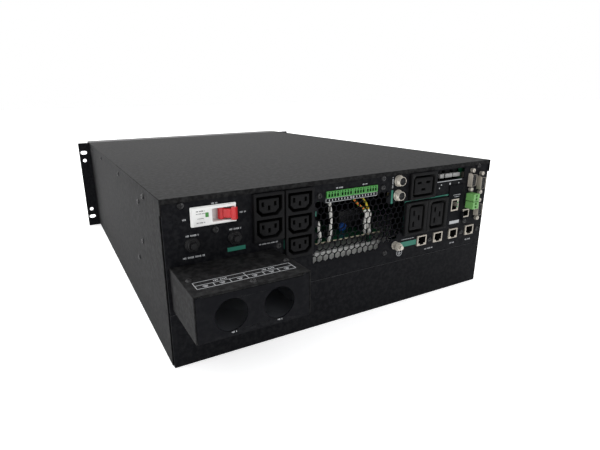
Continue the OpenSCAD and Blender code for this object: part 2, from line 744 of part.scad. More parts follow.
// Relays, film capacitors, driver blocks and one disc suppressor by the rear edge
module board_parts() color("#2f5f9a") translate([0, 0, board_z + board_t]) {
    for (x = [-190, -160, -130, 130, 160, 190]) translate([x - 12, 112, 0]) cube([24, 32, 25]);
    for (x = [-40, -10, 20]) translate([x, 110, 0]) cube([26, 15, 22]);
    for (x = [-48, -20]) translate([x, 150, 0]) cube([24, 20, 18]);
    translate([14, 176, 0]) cube([30, 24, 28]);
    translate([-56, 186, 0]) cube([34, 30, 24]);
    translate([-22, 224, 5.6]) rotate([90, 0, 0]) cylinder(d = 10.4, h = 4);
    translate([-24.4, 221, 0]) cube([1, 1, 2]);
    translate([-20.4, 221, 0]) cube([1, 1, 2]);
    translate([-54, 228, 0]) cube([12, 10, 14]);
    translate([2, 226, 0]) cube([9, 11, 8]);
}

// Boards behind the small rear jacks
module communication_board() color("#1e5a34") {
    box([-206, rear_y - 40, 69.8], [-92, rear_y - 1.6, 71.4]);
    difference() {
        box([-213, rear_y - 13, 90], [-177, rear_y - 11.4, 165]);
        on_rear(usb_at[0], usb_at[1], -16) linear_extrude(8) square([13, 12], center = true);
    }
    on_rear(header_x, header_z - 1, -13) linear_extrude(1.6) square([78, 16], center = true);
}

// Points on a smooth curve through a list of points
function curve_point(p, i, t) = let (
    a = p[max(i - 1, 0)],
    b = p[i],
    c = p[i + 1],
    d = p[min(i + 2, len(p) - 1)]
) (2 * b + (c - a) * t + (2 * a - 5 * b + 4 * c - d) * t * t + (3 * b - a - 3 * c + d) * t * t * t) / 2;

function smooth(p, n) = [
    for (i = [0 : len(p) - 2], k = [0 : n - 1]) curve_point(p, i, k / n),
    p[len(p) - 1]
];

function unit(v) = v / norm(v);

// Ring of points round a lead at one station, square to its direction
function lead_ring(p, i, r) = let (
    ahead = unit(p[min(i + 1, len(p) - 1)] - p[max(i - 1, 0)]),
    side = unit(cross(ahead, [1, 0.2, 0.1])),
    up = cross(side, ahead)
) [for (a = [0 : 45 : 315]) p[i] + r * (cos(a) * side + sin(a) * up)];

module lead(route, r) {
    p = smooth(route, 3);
    last = 8 * (len(p) - 1);
    polyhedron(
        [for (i = [0 : len(p) - 1]) each lead_ring(p, i, r)],
        concat(
            [[for (k = [0 : 7]) k]],
            [for (i = [0 : len(p) - 2], k = [0 : 7])
                [8 * i + k, 8 * i + 8 + k, 8 * i + 8 + (k + 1) % 8, 8 * i + (k + 1) % 8]],
            [[for (k = [7 : -1 : 0]) last + k]]));
}

module inner_wires() color("#c9c7bf") for (route = lead_routes) lead(route[1], route[0]);

// ---------------------------------------------------------------- fans

module fan_frames() color("#19191b") for (x = fan_x) translate([x, fan_y, fan_z]) rotate([-90, 0, 0]) {
    difference() {
        linear_extrude(fan_t) rounded(fan_size, fan_size, 4);
        translate([0, 0, -1]) cylinder(d = 76, h = fan_t + 2);
        for (a = [45 : 90 : 315]) rotate(a) translate([50.5, 0, -1]) cylinder(d = 4.4, h = fan_t + 2);
    }
    for (a = [20 : 90 : 290]) rotate(a) translate([10, -2, fan_t - 3]) cube([29, 4, 3]);
    translate([0, 0, fan_t - 4]) cylinder(d = 32, h = 4);
    translate([0, 0, 6]) cylinder(d = 3, h = fan_t - 8);
}

// Hub on the fan's shaft with seven flat blades set at an angle
module fan_rotor(i) color("#232326") translate([fan_x[i], fan_y, fan_z]) rotate([-90, 0, 0]) difference() {
    union() {
        translate([0, 0, 2]) cylinder(d = 34, h = 17);
        for (a = [0 : 360 / 7 : 359]) rotate(a)
            translate([15, 0, 10.5]) rotate([38, 0, 0]) translate([0, -10, -0.7]) cube([20.5, 20, 1.4]);
    }
    translate([0, 0, 5]) cylinder(d = 3.06, h = 20);
}

module fan_rotor_1() {
    fan_rotor(0);
}

module fan_rotor_2() {
    fan_rotor(1);
}

module fan_rotor_3() {
    fan_rotor(2);
}

// ---------------------------------------------------------------- battery drawers

// Tray with a front plate, a bar handle, two knurled screw heads and a rear plug
module battery_drawer(x) color("#7e8184") translate([x, 0, drawer_z]) {
    hw = drawer_w / 2;
    tail = face_y + 1.5 + drawer_l;
    side_h = 52;
    box([-hw, face_y, 0], [hw, face_y + 1.5, drawer_h]);
    box([-hw, face_y, 0], [hw, tail, sheet]);
    for (s = [-1, 1]) translate([s * (hw - sheet / 2), face_y + drawer_l / 2, side_h / 2])
        cube([sheet, drawer_l, side_h], center = true);
    box([-hw, tail - sheet, 0], [hw, tail, side_h]);
    translate([0, face_y, drawer_h / 2]) {
        for (s = [-1, 1]) translate([s * 45, 0, 0]) rotate([90, 0, 0]) cylinder(d = 8, h = 17);
        translate([-49, -20, -4]) cube([98, 5, 8]);
        for (s = [-1, 1]) translate([s * 92, 0, 20]) rotate([90, 0, 0]) cylinder(d = 11, h = 10);
    }
    box([-26, tail, 14], [26, tail + 12, 38]);
}

module battery_drawer_left() {
    battery_drawer(drawer_x[0]);
}

module battery_drawer_right() {
    battery_drawer(drawer_x[1]);
}

// Six sealed blocks lying on their sides, each with two terminal tabs
module battery_blocks(x) color("#3a3d42") for (i = [-1, 1], k = [0 : cell_n - 1])
    translate([x + i * (cell_size[0] / 2 + 1), face_y + 4 + (k + 0.5) * (cell_size[1] + 1.5), drawer_z + 1.4]) {
        translate([0, 0, cell_size[2] / 2]) cube([cell_size[0] - 5, cell_size[1], cell_size[2]], center = true);
        for (y = [-60, 60])
            translate([-i * (cell_size[0] / 2 - 2), y, 40]) cube([5, 8, 3], center = true);
    }

module battery_blocks_left() {
    battery_blocks(drawer_x[0]);
}

module battery_blocks_right() {
    battery_blocks(drawer_x[1]);
}

// ---------------------------------------------------------------- drawing

base_tray();
top_cover();
rear_panel();
middle_deck();
centre_web();
front_bulkhead();
rack_ear_left();
rack_ear_right();
case_screws();
panel_screws();
front_bezel();
display_window();
display_board();
nav_button_1();
nav_button_2();
nav_button_3();
nav_button_4();
power_button();
mains_breaker();
mains_breaker_lever();
reset_breakers();
reset_breaker_nuts();
reset_button_left();
reset_button_right();
outlet_strip_two();
outlet_strip_three();
large_outlet_level();
large_outlets_upright();
outlet_contacts();
signal_headers();
sensor_sockets();
sensor_socket_nuts();
ground_stud();
ground_nuts();
network_jacks();
network_card();
usb_port();
dsub_sockets();
dsub_jackscrews();
green_plugs();
accessory_bay();
terminal_box();
terminal_box_cover();
terminal_block();
terminal_screws();
power_board();
heatsinks();
bus_capacitors();
power_inductors();
board_parts();
communication_board();
inner_wires();
fan_frames();
fan_rotor_1();
fan_rotor_2();
fan_rotor_3();
battery_drawer_left();
battery_drawer_right();
battery_blocks_left();
battery_blocks_right();
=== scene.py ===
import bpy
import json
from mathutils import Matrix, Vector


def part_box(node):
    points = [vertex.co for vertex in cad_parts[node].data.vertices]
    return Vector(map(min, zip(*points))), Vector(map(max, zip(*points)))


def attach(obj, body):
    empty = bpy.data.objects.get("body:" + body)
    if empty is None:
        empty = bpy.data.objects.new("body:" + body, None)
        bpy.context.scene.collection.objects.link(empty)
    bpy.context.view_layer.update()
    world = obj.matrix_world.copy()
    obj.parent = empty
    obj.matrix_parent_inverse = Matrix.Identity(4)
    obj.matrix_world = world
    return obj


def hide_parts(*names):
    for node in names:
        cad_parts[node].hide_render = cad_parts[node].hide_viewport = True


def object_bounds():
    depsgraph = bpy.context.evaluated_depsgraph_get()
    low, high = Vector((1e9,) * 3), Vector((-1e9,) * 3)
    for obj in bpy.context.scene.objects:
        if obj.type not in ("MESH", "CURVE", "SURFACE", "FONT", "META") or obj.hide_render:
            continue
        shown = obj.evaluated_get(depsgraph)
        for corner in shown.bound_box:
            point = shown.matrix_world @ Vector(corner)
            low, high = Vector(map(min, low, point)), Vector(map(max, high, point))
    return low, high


bl_info = {
    "name": "Rackmount power supply",
    "version": (1, 0, 0),
    "blender": (4, 5, 0),
    "location": "View3D > Sidebar > Power supply",
    "description": "Builds the finish, fittings and stage of a rackmount power supply round its frame",
    "category": "Object",
}

import json
import math

import bmesh
import bpy
import numpy as np
from mathutils import Matrix, Vector

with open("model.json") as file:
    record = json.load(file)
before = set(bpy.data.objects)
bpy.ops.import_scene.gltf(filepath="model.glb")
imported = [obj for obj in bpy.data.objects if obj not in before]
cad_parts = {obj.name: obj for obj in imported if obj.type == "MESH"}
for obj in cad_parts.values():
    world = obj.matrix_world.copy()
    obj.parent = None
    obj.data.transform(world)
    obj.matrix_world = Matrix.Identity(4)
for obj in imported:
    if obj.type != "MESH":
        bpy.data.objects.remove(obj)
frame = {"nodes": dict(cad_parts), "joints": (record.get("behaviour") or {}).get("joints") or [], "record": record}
CAD_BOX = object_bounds()
RECORD = frame["record"]
BODY_OF = {node: body for body, nodes in RECORD["behaviour"]["bodies"].items() for node in nodes}
OPENINGS = {row["name"]: np.array(row["box_m"]) for row in RECORD["physics"]["openings"]}
MOUNTS = {row["name"]: row for row in RECORD["mounts"]}
MM = 0.001
SINK = 0.02 * MM  # how far a printed mark reaches into the face it lies on


def corners(node):
    """Lowest and highest corner of a node of the frame, as arrays in metres."""
    low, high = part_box(node)
    return np.array(low), np.array(high)


REAR_Y = corners("rear_panel")[1][1]
FRONT_Y = corners("front_bezel")[0][1]
CASE = corners("top_cover")


# ---------------------------------------------------------------- shapes

# A shape is a pair: an array of points and a list of face arrays, each array holding faces with one number
# of corners.


def joined(shapes):
    """One shape from many: the points follow each other and each face index moves up by the points before
    it."""
    points = np.concatenate([points for points, _ in shapes])
    starts = np.cumsum([0] + [len(points) for points, _ in shapes[:-1]])
    faces = [rows + start for (_, groups), start in zip(shapes, starts) for rows in groups]
    return points, faces


def moved(shape, offset=(0, 0, 0), turn=None):
    """The shape turned by a 3 by 3 matrix about the origin and then shifted."""
    points, faces = shape
    if turn is not None:
        points = points @ np.asarray(turn).T
    return points + np.asarray(offset, float), faces


def turned(axis, angle):
    """Rotation matrix about X, Y or Z by an angle in radians."""
    return np.array(Matrix.Rotation(angle, 3, axis))


def at_rear(shape, x, z, out=0.0):
    """Local X to the right as seen from behind, local Y up and local Z out of the rear panel."""
    turn = np.array([[-1, 0, 0], [0, 0, 1], [0, 1, 0]], float)
    return moved(shape, (x, REAR_Y + out, z), turn)


def at_front(shape, x, z, out=0.0):
    """Local X to the right as seen from the front, local Y up and local Z out of the bezel."""
    turn = np.array([[1, 0, 0], [0, 0, -1], [0, 1, 0]], float)
    return moved(shape, (x, FRONT_Y - out, z), turn)


def skin(rings, loop=False, capped=True):
    """Quads between closed rings. rings is an array of stations by corners by 3; the last station joins the
    first when loop is true, and flat end faces close the two ends otherwise."""
    stations, corners_n, _ = rings.shape
    index = np.arange(stations * corners_n).reshape(stations, corners_n)
    near = index if loop else index[:-1]
    far = np.roll(index, -1, axis=0) if loop else index[1:]
    quads = np.stack([near, np.roll(near, -1, axis=1), np.roll(far, -1, axis=1), far], axis=-1)
    faces = [quads.reshape(-1, 4)]
    if capped and not loop:
        faces += [index[:1, ::-1], index[-1:]]
    return rings.reshape(-1, 3), faces


def round_outline(width, height, radius, steps=4):
    """Outline of a rectangle with quarter-circle corners, anticlockwise, as an array of points by 2."""
    angle = np.linspace(0, math.pi / 2, steps + 1)
    quarter = np.stack([np.cos(angle), np.sin(angle)], axis=-1) * radius
    spots = np.array([[1, 1], [-1, 1], [-1, -1], [1, -1]]) * (np.array([width, height]) / 2 - radius)
    sides = [quarter @ turned("Z", k * math.pi / 2)[:2, :2].T + spots[k] for k in range(4)]
    return np.concatenate(sides)


def circle_outline(radius, sides=32, phase=0.0):
    """Outline of a circle or, with few sides, a regular polygon with its corners on the radius."""
    angle = np.arange(sides) * 2 * math.pi / sides + phase
    return np.stack([np.cos(angle), np.sin(angle)], axis=-1) * radius


def inset(outline, amount):
    """Each point moves in along the mean of its two edge normals, by amount over the cosine of half the
    bend."""
    before = outline - np.roll(outline, 1, axis=0)
    after = np.roll(outline, -1, axis=0) - outline
    n1 = np.stack([-before[:, 1], before[:, 0]], axis=-1) / np.linalg.norm(before, axis=1, keepdims=True)
    n2 = np.stack([-after[:, 1], after[:, 0]], axis=-1) / np.linalg.norm(after, axis=1, keepdims=True)
    mean = n1 + n2
    return outline + mean * (2 * amount / np.sum(mean * mean, axis=1, keepdims=True))


def block(outline, low, high, bevel=0.0):
    """The outline raised from low to high, with its top edge rounded off over the bevel by a quarter
    circle."""
    steps = np.linspace(0, math.pi / 2, 4) if bevel else np.zeros(1)
    levels = [(0.0, low)]
    levels += [(bevel * (1 - math.cos(a)), high - bevel * (1 - math.sin(a))) for a in steps]
    tops = [(inset(outline, amount) if amount else outline, z) for amount, z in levels]
    return skin(np.array([np.column_stack([ring, np.full(len(ring), z)]) for ring, z in tops]))


def lathe(profile, sides=32, loop=False):
    """A profile of radius and height turned about local Z; each row of the profile is one ring. With loop the
    profile closes on itself, as for a washer or a bush."""
    profile = np.asarray(profile, float)
    unit = circle_outline(1.0, sides)
    heights = np.repeat(profile[:, None, 1:], sides, 1)
    return skin(np.concatenate([profile[:, None, :1] * unit[None], heights], axis=-1), loop)


def smooth_path(points, steps=8):
    """Catmull-Rom curve: cubic pieces through the points, each tangent along its two neighbours."""
    p = np.asarray(points, float)
    p = np.concatenate([[2 * p[0] - p[1]], p, [2 * p[-1] - p[-2]]])
    t = (np.arange(steps) / steps)[None, :, None]
    a, b, c, d = (p[k : len(p) - 3 + k, None] for k in range(4))
    curve = ((2 * b) + (c - a) * t + (2 * a - 5 * b + 4 * c - d) * t**2 + (3 * b - a - 3 * c + d) * t**3) / 2
    return np.concatenate([curve.reshape(-1, 3), p[-2][None]])


def tube(path, radius, sides=12, across=(0.3, 0.1, 1.0)):
    """A round section carried along a path. radius is one number or one for each station."""
    ahead = np.gradient(path, axis=0)
    ahead /= np.linalg.norm(ahead, axis=1, keepdims=True)
    side = np.cross(ahead, np.array(across, float))
    side /= np.linalg.norm(side, axis=1, keepdims=True)
    up = np.cross(side, ahead)
    unit = circle_outline(1.0, sides)
    radius = np.broadcast_to(np.asarray(radius, float), len(path))[:, None, None]
    rings = path[:, None] + radius * (unit[None, :, :1] * side[:, None] + unit[None, :, 1:] * up[:, None])
    return skin(rings[:, ::-1])


def bar(x0, z0, x1, z1, low, high):
    """A thin flat mark between two corners, from low to high."""
    outline = np.array([[x0, z0], [x1, z0], [x1, z1], [x0, z1]])
    return block(outline, low, high)


# ---------------------------------------------------------------- objects


def new_piece(name, shape, finish, like=None, body=None, smooth=35.0):
    """Puts a shape into a mesh object, which rides on the body of the node that it is like unless another is
    given. smooth is the largest angle in degrees between faces that shade as one."""
    points, groups = shape
    mesh = bpy.data.meshes.new(name)
    mesh.from_pydata(points.tolist(), [], [face for rows in groups for face in rows.tolist()])
    mesh.validate()
    mesh.materials.append(MATERIALS[finish])
    piece = bpy.data.objects.new(name, mesh)
    bpy.context.collection.objects.link(piece)
    finish_mesh(piece, smooth)
    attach(piece, body or BODY_OF.get(like, "case"))
    return piece


def finish_mesh(piece, smooth, bevel=0.0):
    """Shades by angle, after an optional live bevel of the sharp edges that are long enough for it."""
    mesh = piece.data
    mesh.shade_smooth()
    mesh.set_sharp_from_angle(angle=math.radians(smooth))
    if bevel:
        weights = mesh.attributes.new("bevel_weight_edge", "FLOAT", "EDGE")
        weights.data.foreach_set("value", sharp_edges(mesh, bevel * 4).astype(np.float32))
        edge = piece.modifiers.new("Edges", "BEVEL")
        edge.width = bevel
        edge.segments = 2
        edge.limit_method = "WEIGHT"
        edge.use_clamp_overlap = False


def sharp_edges(mesh, length):
    """True for each edge that is longer than length and where two faces meet at more than 40 degrees."""
    def read(rows, label, width, kind=float):
        values = np.empty(len(rows) * width, kind)
        rows.foreach_get(label, values)
        return values.reshape(-1, width) if width > 1 else values

    places = read(mesh.vertices, "co", 3)
    ends = read(mesh.edges, "vertices", 2, int)
    normals = read(mesh.polygons, "normal", 3)
    around = read(mesh.loops, "edge_index", 1, int)
    owner = np.repeat(np.arange(len(mesh.polygons)), read(mesh.polygons, "loop_total", 1, int))
    order = np.argsort(around, kind="stable")
    pairs, first, count = np.unique(around[order], return_index=True, return_counts=True)
    two = count == 2
    left, right = owner[order][first[two]], owner[order][first[two] + 1]
    bent = np.zeros(len(ends), bool)
    bent[pairs[two]] = np.sum(normals[left] * normals[right], axis=1) < math.cos(math.radians(40))
    return bent & (np.linalg.norm(places[ends[:, 0]] - places[ends[:, 1]], axis=1) > length)


def in_box(low, high):
    """Test for face centres that lie between two corners in metres."""
    low, high = np.array(low), np.array(high)
    return lambda spots: np.all((spots > low) & (spots < high), axis=1)


def near_line(spot, axis, reach, low=-9.0, high=9.0):
    """Test for face centres within reach of a line along one axis, between two heights on it."""
    across = [k for k in range(3) if k != axis]
    spot = np.array(spot)

    def test(spots):
        away = np.linalg.norm(spots[:, across] - spot[across], axis=1)
        return (away < reach) & (spots[:, axis] > low) & (spots[:, axis] < high)

    return test


def dressed(node, finish, bevel=0.0, zones=()):
    """A copy of a frame node with its loose triangles merged, its flat faces joined and its edges rounded.
    The copy stands for the node. Each zone is a finish and a test on face centres; later zones win."""
    source = frame["nodes"][node]
    mesh = source.data.copy()
    mesh.name = node + "_finish"
    work = bmesh.new()
    work.from_mesh(mesh)
    bmesh.ops.remove_doubles(work, verts=work.verts, dist=2e-6)
    bmesh.ops.dissolve_limit(
        work, angle_limit=math.radians(0.6), verts=work.verts, edges=work.edges, delimit={"NORMAL"}
    )
    bmesh.ops.triangulate(work, faces=[face for face in work.faces if len(face.verts) > 4])
    work.to_mesh(mesh)
    work.free()
    mesh.materials.clear()
    mesh.materials.append(MATERIALS[finish])
    if zones:
        spots = np.empty(len(mesh.polygons) * 3)
        mesh.polygons.foreach_get("center", spots)
        chosen = np.zeros(len(mesh.polygons), int)
        for k, (other, test) in enumerate(zones):
            mesh.materials.append(MATERIALS[other])
            chosen[test(spots.reshape(-1, 3))] = k + 1
        mesh.polygons.foreach_set("material_index", chosen)
    piece = bpy.data.objects.new(node + "_finish", mesh)
    bpy.context.collection.objects.link(piece)
    finish_mesh(piece, 30.0, bevel)
    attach(piece, BODY_OF[node])
    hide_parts(node)
    return piece


def painted(node, finish):
    """Gives a frame node its finish as it stands."""
    data = frame["nodes"][node].data
    data.materials.clear()
    data.materials.append(MATERIALS[finish])


# ---------------------------------------------------------------- shader groups


def node_group(name, inputs, outputs):
    """An empty shader node group with named sockets; inputs map a name to its kind and default."""
    group = bpy.data.node_groups.new(name, "ShaderNodeTree")
    for label, (kind, value) in inputs.items():
        socket = group.interface.new_socket(label, in_out="INPUT", socket_type=kind)
        socket.default_value = value
    for label, kind in outputs.items():
        group.interface.new_socket(label, in_out="OUTPUT", socket_type=kind)
    tree = Tree(group)
    tree.source = tree.add("NodeGroupInput")
    tree.sink = tree.add("NodeGroupOutput")
    return tree


class Tree:
    """Short names for adding and linking shader nodes."""

    def __init__(self, tree):
        self.tree = tree

    def add(self, kind, **values):
        node = self.tree.nodes.new(kind)
        for label, value in values.items():
            setattr(node, label, value)
        return node

    def link(self, source, target):
        self.tree.links.new(source, target)

    def feed(self, value, socket):
        """Links a socket, or sets a plain value."""
        if isinstance(value, bpy.types.NodeSocket):
            self.link(value, socket)
        else:
            socket.default_value = value

    def math(self, operation, a, b=0.0, clamp=False):
        node = self.add("ShaderNodeMath", operation=operation, use_clamp=clamp)
        self.feed(a, node.inputs[0])
        self.feed(b, node.inputs[1])
        return node.outputs[0]

    def mix(self, factor, a, b):
        node = self.add("ShaderNodeMix", data_type="RGBA")
        self.feed(factor, node.inputs["Factor"])
        self.feed(a, node.inputs["A"])
        self.feed(b, node.inputs["B"])
        return node.outputs["Result"]

    def ramp(self, value, low, high, to_low=0.0, to_high=1.0):
        node = self.add("ShaderNodeMapRange")
        self.feed(value, node.inputs["Value"])
        self.feed(low, node.inputs["From Min"])
        self.feed(high, node.inputs["From Max"])
        self.feed(to_low, node.inputs["To Min"])
        self.feed(to_high, node.inputs["To Max"])
        return node.outputs["Result"]

    def noise(self, scale, detail=2.0, roughness=0.5, vector=None):
        node = self.add("ShaderNodeTexNoise")
        self.feed(scale, node.inputs["Scale"])
        node.inputs["Detail"].default_value = detail
        node.inputs["Roughness"].default_value = roughness
        self.link(vector or self.place(), node.inputs["Vector"])
        return node.outputs["Fac"]

    def bump(self, height, strength, distance):
        """A bump of the given strength and depth in metres into the material's shader."""
        node = self.add("ShaderNodeBump")
        node.inputs["Strength"].default_value = strength
        node.inputs["Distance"].default_value = distance
        self.link(height, node.inputs["Height"])
        self.link(node.outputs["Normal"], self.shader.inputs["Normal"])

    def place(self):
        """Object coordinates of the surface, in metres."""
        if not hasattr(self, "coordinates"):
            self.coordinates = self.add("ShaderNodeTexCoord")
        return self.coordinates.outputs["Object"]


FLOAT = "NodeSocketFloat"
COLOUR = "NodeSocketColor"


def grain_group():
    """Fine bumps of powder paint or a moulding tool, with a mask that follows the same grains."""
    tree = node_group("Surface grain", {"Scale": (FLOAT, 900.0), "Depth": (FLOAT, 1.0)},
                      {"Height": FLOAT, "Mask": FLOAT})
    fine = tree.noise(tree.source.outputs["Scale"], 2.0, 0.6)
    broad = tree.noise(tree.math("MULTIPLY", tree.source.outputs["Scale"], 0.13), 3.0, 0.55)
    height = tree.math("ADD", tree.math("MULTIPLY", fine, 0.7), tree.math("MULTIPLY", broad, 0.3))
    tree.link(tree.math("MULTIPLY", height, tree.source.outputs["Depth"]), tree.sink.inputs["Height"])
    tree.link(tree.ramp(fine, 0.35, 0.65), tree.sink.inputs["Mask"])
    return tree.tree


def tone_group():
    """Slow drift of colour and roughness over a surface, in two sizes of patch."""
    tree = node_group("Tone drift", {"Color": (COLOUR, (0.5, 0.5, 0.5, 1)), "Roughness": (FLOAT, 0.5),
                                     "Amount": (FLOAT, 0.12), "Scale": (FLOAT, 9.0)},
                      {"Color": COLOUR, "Roughness": FLOAT})
    slow = tree.noise(tree.source.outputs["Scale"], 4.0, 0.6)
    quick = tree.noise(tree.math("MULTIPLY", tree.source.outputs["Scale"], 14.0), 3.0, 0.6)
    drift = tree.math("ADD", tree.math("MULTIPLY", slow, 0.65), tree.math("MULTIPLY", quick, 0.35))
    swing = tree.math("MULTIPLY", tree.math("SUBTRACT", drift, 0.5), tree.source.outputs["Amount"])
    bright = tree.add("ShaderNodeHueSaturation")
    tree.link(tree.math("ADD", tree.math("MULTIPLY", swing, 2.4), 1.0), bright.inputs["Value"])
    tree.link(tree.source.outputs["Color"], bright.inputs["Color"])
    tree.link(bright.outputs["Color"], tree.sink.inputs["Color"])
    tree.link(tree.math("ADD", tree.source.outputs["Roughness"], swing, clamp=True),
              tree.sink.inputs["Roughness"])
    return tree.tree


def wear_group():
    """Paint rubbed pale or to metal along outward edges: the surface's own pointiness, broken up by noise."""
    tree = node_group("Edge wear", {"Color": (COLOUR, (0.5, 0.5, 0.5, 1)),
                                    "Worn": (COLOUR, (0.5, 0.5, 0.5, 1)),
                                    "Amount": (FLOAT, 0.5), "Scale": (FLOAT, 220.0)},
                      {"Color": COLOUR, "Mask": FLOAT})
    shape = tree.add("ShaderNodeNewGeometry")
    edge = tree.ramp(shape.outputs["Pointiness"], 0.512, 0.56)
    broken = tree.ramp(tree.noise(tree.source.outputs["Scale"], 5.0, 0.65), 0.42, 0.62)
    mask = tree.math("MULTIPLY", tree.math("MULTIPLY", edge, broken), tree.source.outputs["Amount"],
                     clamp=True)
    tree.link(tree.mix(mask, tree.source.outputs["Color"], tree.source.outputs["Worn"]),
              tree.sink.inputs["Color"])
    tree.link(mask, tree.sink.inputs["Mask"])
    return tree.tree


def dust_group():
    """Pale dust that settles on faces that look up, thicker in noise patches, with sparse specks."""
    tree = node_group("Settled dust", {"Color": (COLOUR, (0.5, 0.5, 0.5, 1)),
                                       "Dust": (COLOUR, (0.3, 0.29, 0.27, 1)),
                                       "Amount": (FLOAT, 0.1)},
                      {"Color": COLOUR, "Mask": FLOAT})
    shape = tree.add("ShaderNodeNewGeometry")
    split = tree.add("ShaderNodeSeparateXYZ")
    tree.link(shape.outputs["Normal"], split.inputs["Vector"])
    up = tree.ramp(split.outputs["Z"], 0.2, 1.0, 0.15, 1.0)
    patch = tree.ramp(tree.noise(26.0, 6.0, 0.65), 0.35, 0.75)
    specks = tree.ramp(tree.noise(1500.0, 1.0, 0.4), 0.68, 0.74)
    cover = tree.math("ADD", tree.math("MULTIPLY", patch, 0.6), tree.math("MULTIPLY", specks, 0.8))
    mask = tree.math("MULTIPLY", tree.math("MULTIPLY", cover, up), tree.source.outputs["Amount"], clamp=True)
    tree.link(tree.mix(mask, tree.source.outputs["Color"], tree.source.outputs["Dust"]),
              tree.sink.inputs["Color"])
    tree.link(mask, tree.sink.inputs["Mask"])
    return tree.tree


GROUPS = {}


def placed(tree, name, **values):
    """One of the shared groups in a material, with its own values or links."""
    if name not in GROUPS:
        GROUPS[name] = {"grain": grain_group, "tone": tone_group, "wear": wear_group,
                        "dust": dust_group}[name]()
    node = tree.add("ShaderNodeGroup")
    node.node_tree = GROUPS[name]
    for label, value in values.items():
        tree.feed(value, node.inputs[label])
    return node


# ---------------------------------------------------------------- materials


def rgba(colour):
    return (*colour, 1.0)


def new_material(name, **values):
    """A new material and its tree, with plain values set on the shader; each _ in a name stands for a
    space."""
    material = bpy.data.materials.new(name)
    material.use_nodes = True
    tree = Tree(material.node_tree)
    tree.shader = material.node_tree.nodes["Principled BSDF"]
    for label, value in values.items():
        tree.shader.inputs[label.replace("_", " ")].default_value = value
    return material, tree


def coated(name, colour, roughness, grain=900.0, depth=0.25, drift=0.12, worn=None, wear=0.0, dust=0.06,
           specular=0.5, metallic=0.0, spread=9.0):
    """Paint, plastic or plated metal: tone drift, worn edges and dust over one colour, with a grain bump."""
    material, tree = new_material(name, Specular_IOR_Level=specular, Metallic=metallic)
    shader = tree.shader
    tone = placed(tree, "tone", Color=rgba(colour), Roughness=roughness, Amount=drift, Scale=spread)
    colour_out = tone.outputs["Color"]
    if wear:
        edge = placed(tree, "wear", Color=colour_out, Worn=rgba(worn or (0.3, 0.3, 0.3)), Amount=wear)
        colour_out = edge.outputs["Color"]
    settled = placed(tree, "dust", Color=colour_out, Amount=dust)
    tree.link(settled.outputs["Color"], shader.inputs["Base Color"])
    rough = tree.math("ADD", tone.outputs["Roughness"], tree.math("MULTIPLY", settled.outputs["Mask"], 0.5),
                      clamp=True)
    tree.link(rough, shader.inputs["Roughness"])
    grains = placed(tree, "grain", Scale=grain)
    tree.bump(grains.outputs["Height"], depth, 0.0002)
    return material


def brushed(name, colour, roughness, along=(1.0, 1.0, 60.0), drift=0.1):
    """Rolled or brushed metal: noise stretched along one axis drives roughness and a faint bump."""
    material, tree = new_material(name, Metallic=1.0)
    shader = tree.shader
    tone = placed(tree, "tone", Color=rgba(colour), Roughness=roughness, Amount=drift, Scale=14.0)
    stretch = tree.add("ShaderNodeMapping")
    tree.link(tree.place(), stretch.inputs["Vector"])
    stretch.inputs["Scale"].default_value = along
    lines = tree.noise(60.0, 4.0, 0.7, stretch.outputs["Vector"])
    rough = tree.math("ADD", tone.outputs["Roughness"], tree.ramp(lines, 0.3, 0.7, -0.08, 0.1), clamp=True)
    tree.link(tone.outputs["Color"], shader.inputs["Base Color"])
    tree.link(rough, shader.inputs["Roughness"])
    tree.bump(lines, 0.15, 0.0001)
    return material


def galvanised(name):
    """Zinc-coated sheet: crystals from a cell pattern tint the metal and vary its gloss."""
    material, tree = new_material(name, Metallic=0.25)
    shader = tree.shader
    cells = tree.add("ShaderNodeTexVoronoi")
    cells.inputs["Scale"].default_value = 160.0
    tree.link(tree.place(), cells.inputs["Vector"])
    shade = tree.add("ShaderNodeSeparateColor")
    tree.link(cells.outputs["Color"], shade.inputs["Color"])
    tree.link(tree.mix(shade.outputs["Red"], rgba((0.78, 0.78, 0.76)), rgba((0.93, 0.93, 0.91))),
              shader.inputs["Base Color"])
    tree.link(tree.ramp(shade.outputs["Green"], 0.0, 1.0, 0.32, 0.55), shader.inputs["Roughness"])
    return material


def board_material(name):
    """Solder mask over copper tracks: two crossed bands of thin lines show paler green, with pads between."""
    material, tree = new_material(name, Specular_IOR_Level=0.6)
    shader = tree.shader
    waves = []
    for angle in (0.0, 90.0):
        turn = tree.add("ShaderNodeMapping")
        turn.inputs["Rotation"].default_value = (0, 0, math.radians(angle))
        tree.link(tree.place(), turn.inputs["Vector"])
        wave = tree.add("ShaderNodeTexWave", bands_direction="X")
        wave.inputs["Scale"].default_value = 60.0
        wave.inputs["Distortion"].default_value = 1.5
        wave.inputs["Detail Scale"].default_value = 3.0
        tree.link(turn.outputs["Vector"], wave.inputs["Vector"])
        waves.append(tree.ramp(wave.outputs["Fac"], 0.8, 0.86))
    area = tree.ramp(tree.noise(30.0, 1.0), 0.46, 0.5)
    tracks = tree.mix(area, waves[0], waves[1])
    tone = placed(tree, "tone", Color=tree.mix(tracks, rgba((0.008, 0.07, 0.03)), rgba((0.02, 0.16, 0.07))),
                  Roughness=0.35, Amount=0.1, Scale=20.0)
    tree.link(tone.outputs["Color"], shader.inputs["Base Color"])
    tree.link(tone.outputs["Roughness"], shader.inputs["Roughness"])
    tree.bump(tracks, 0.3, 0.0001)
    return material


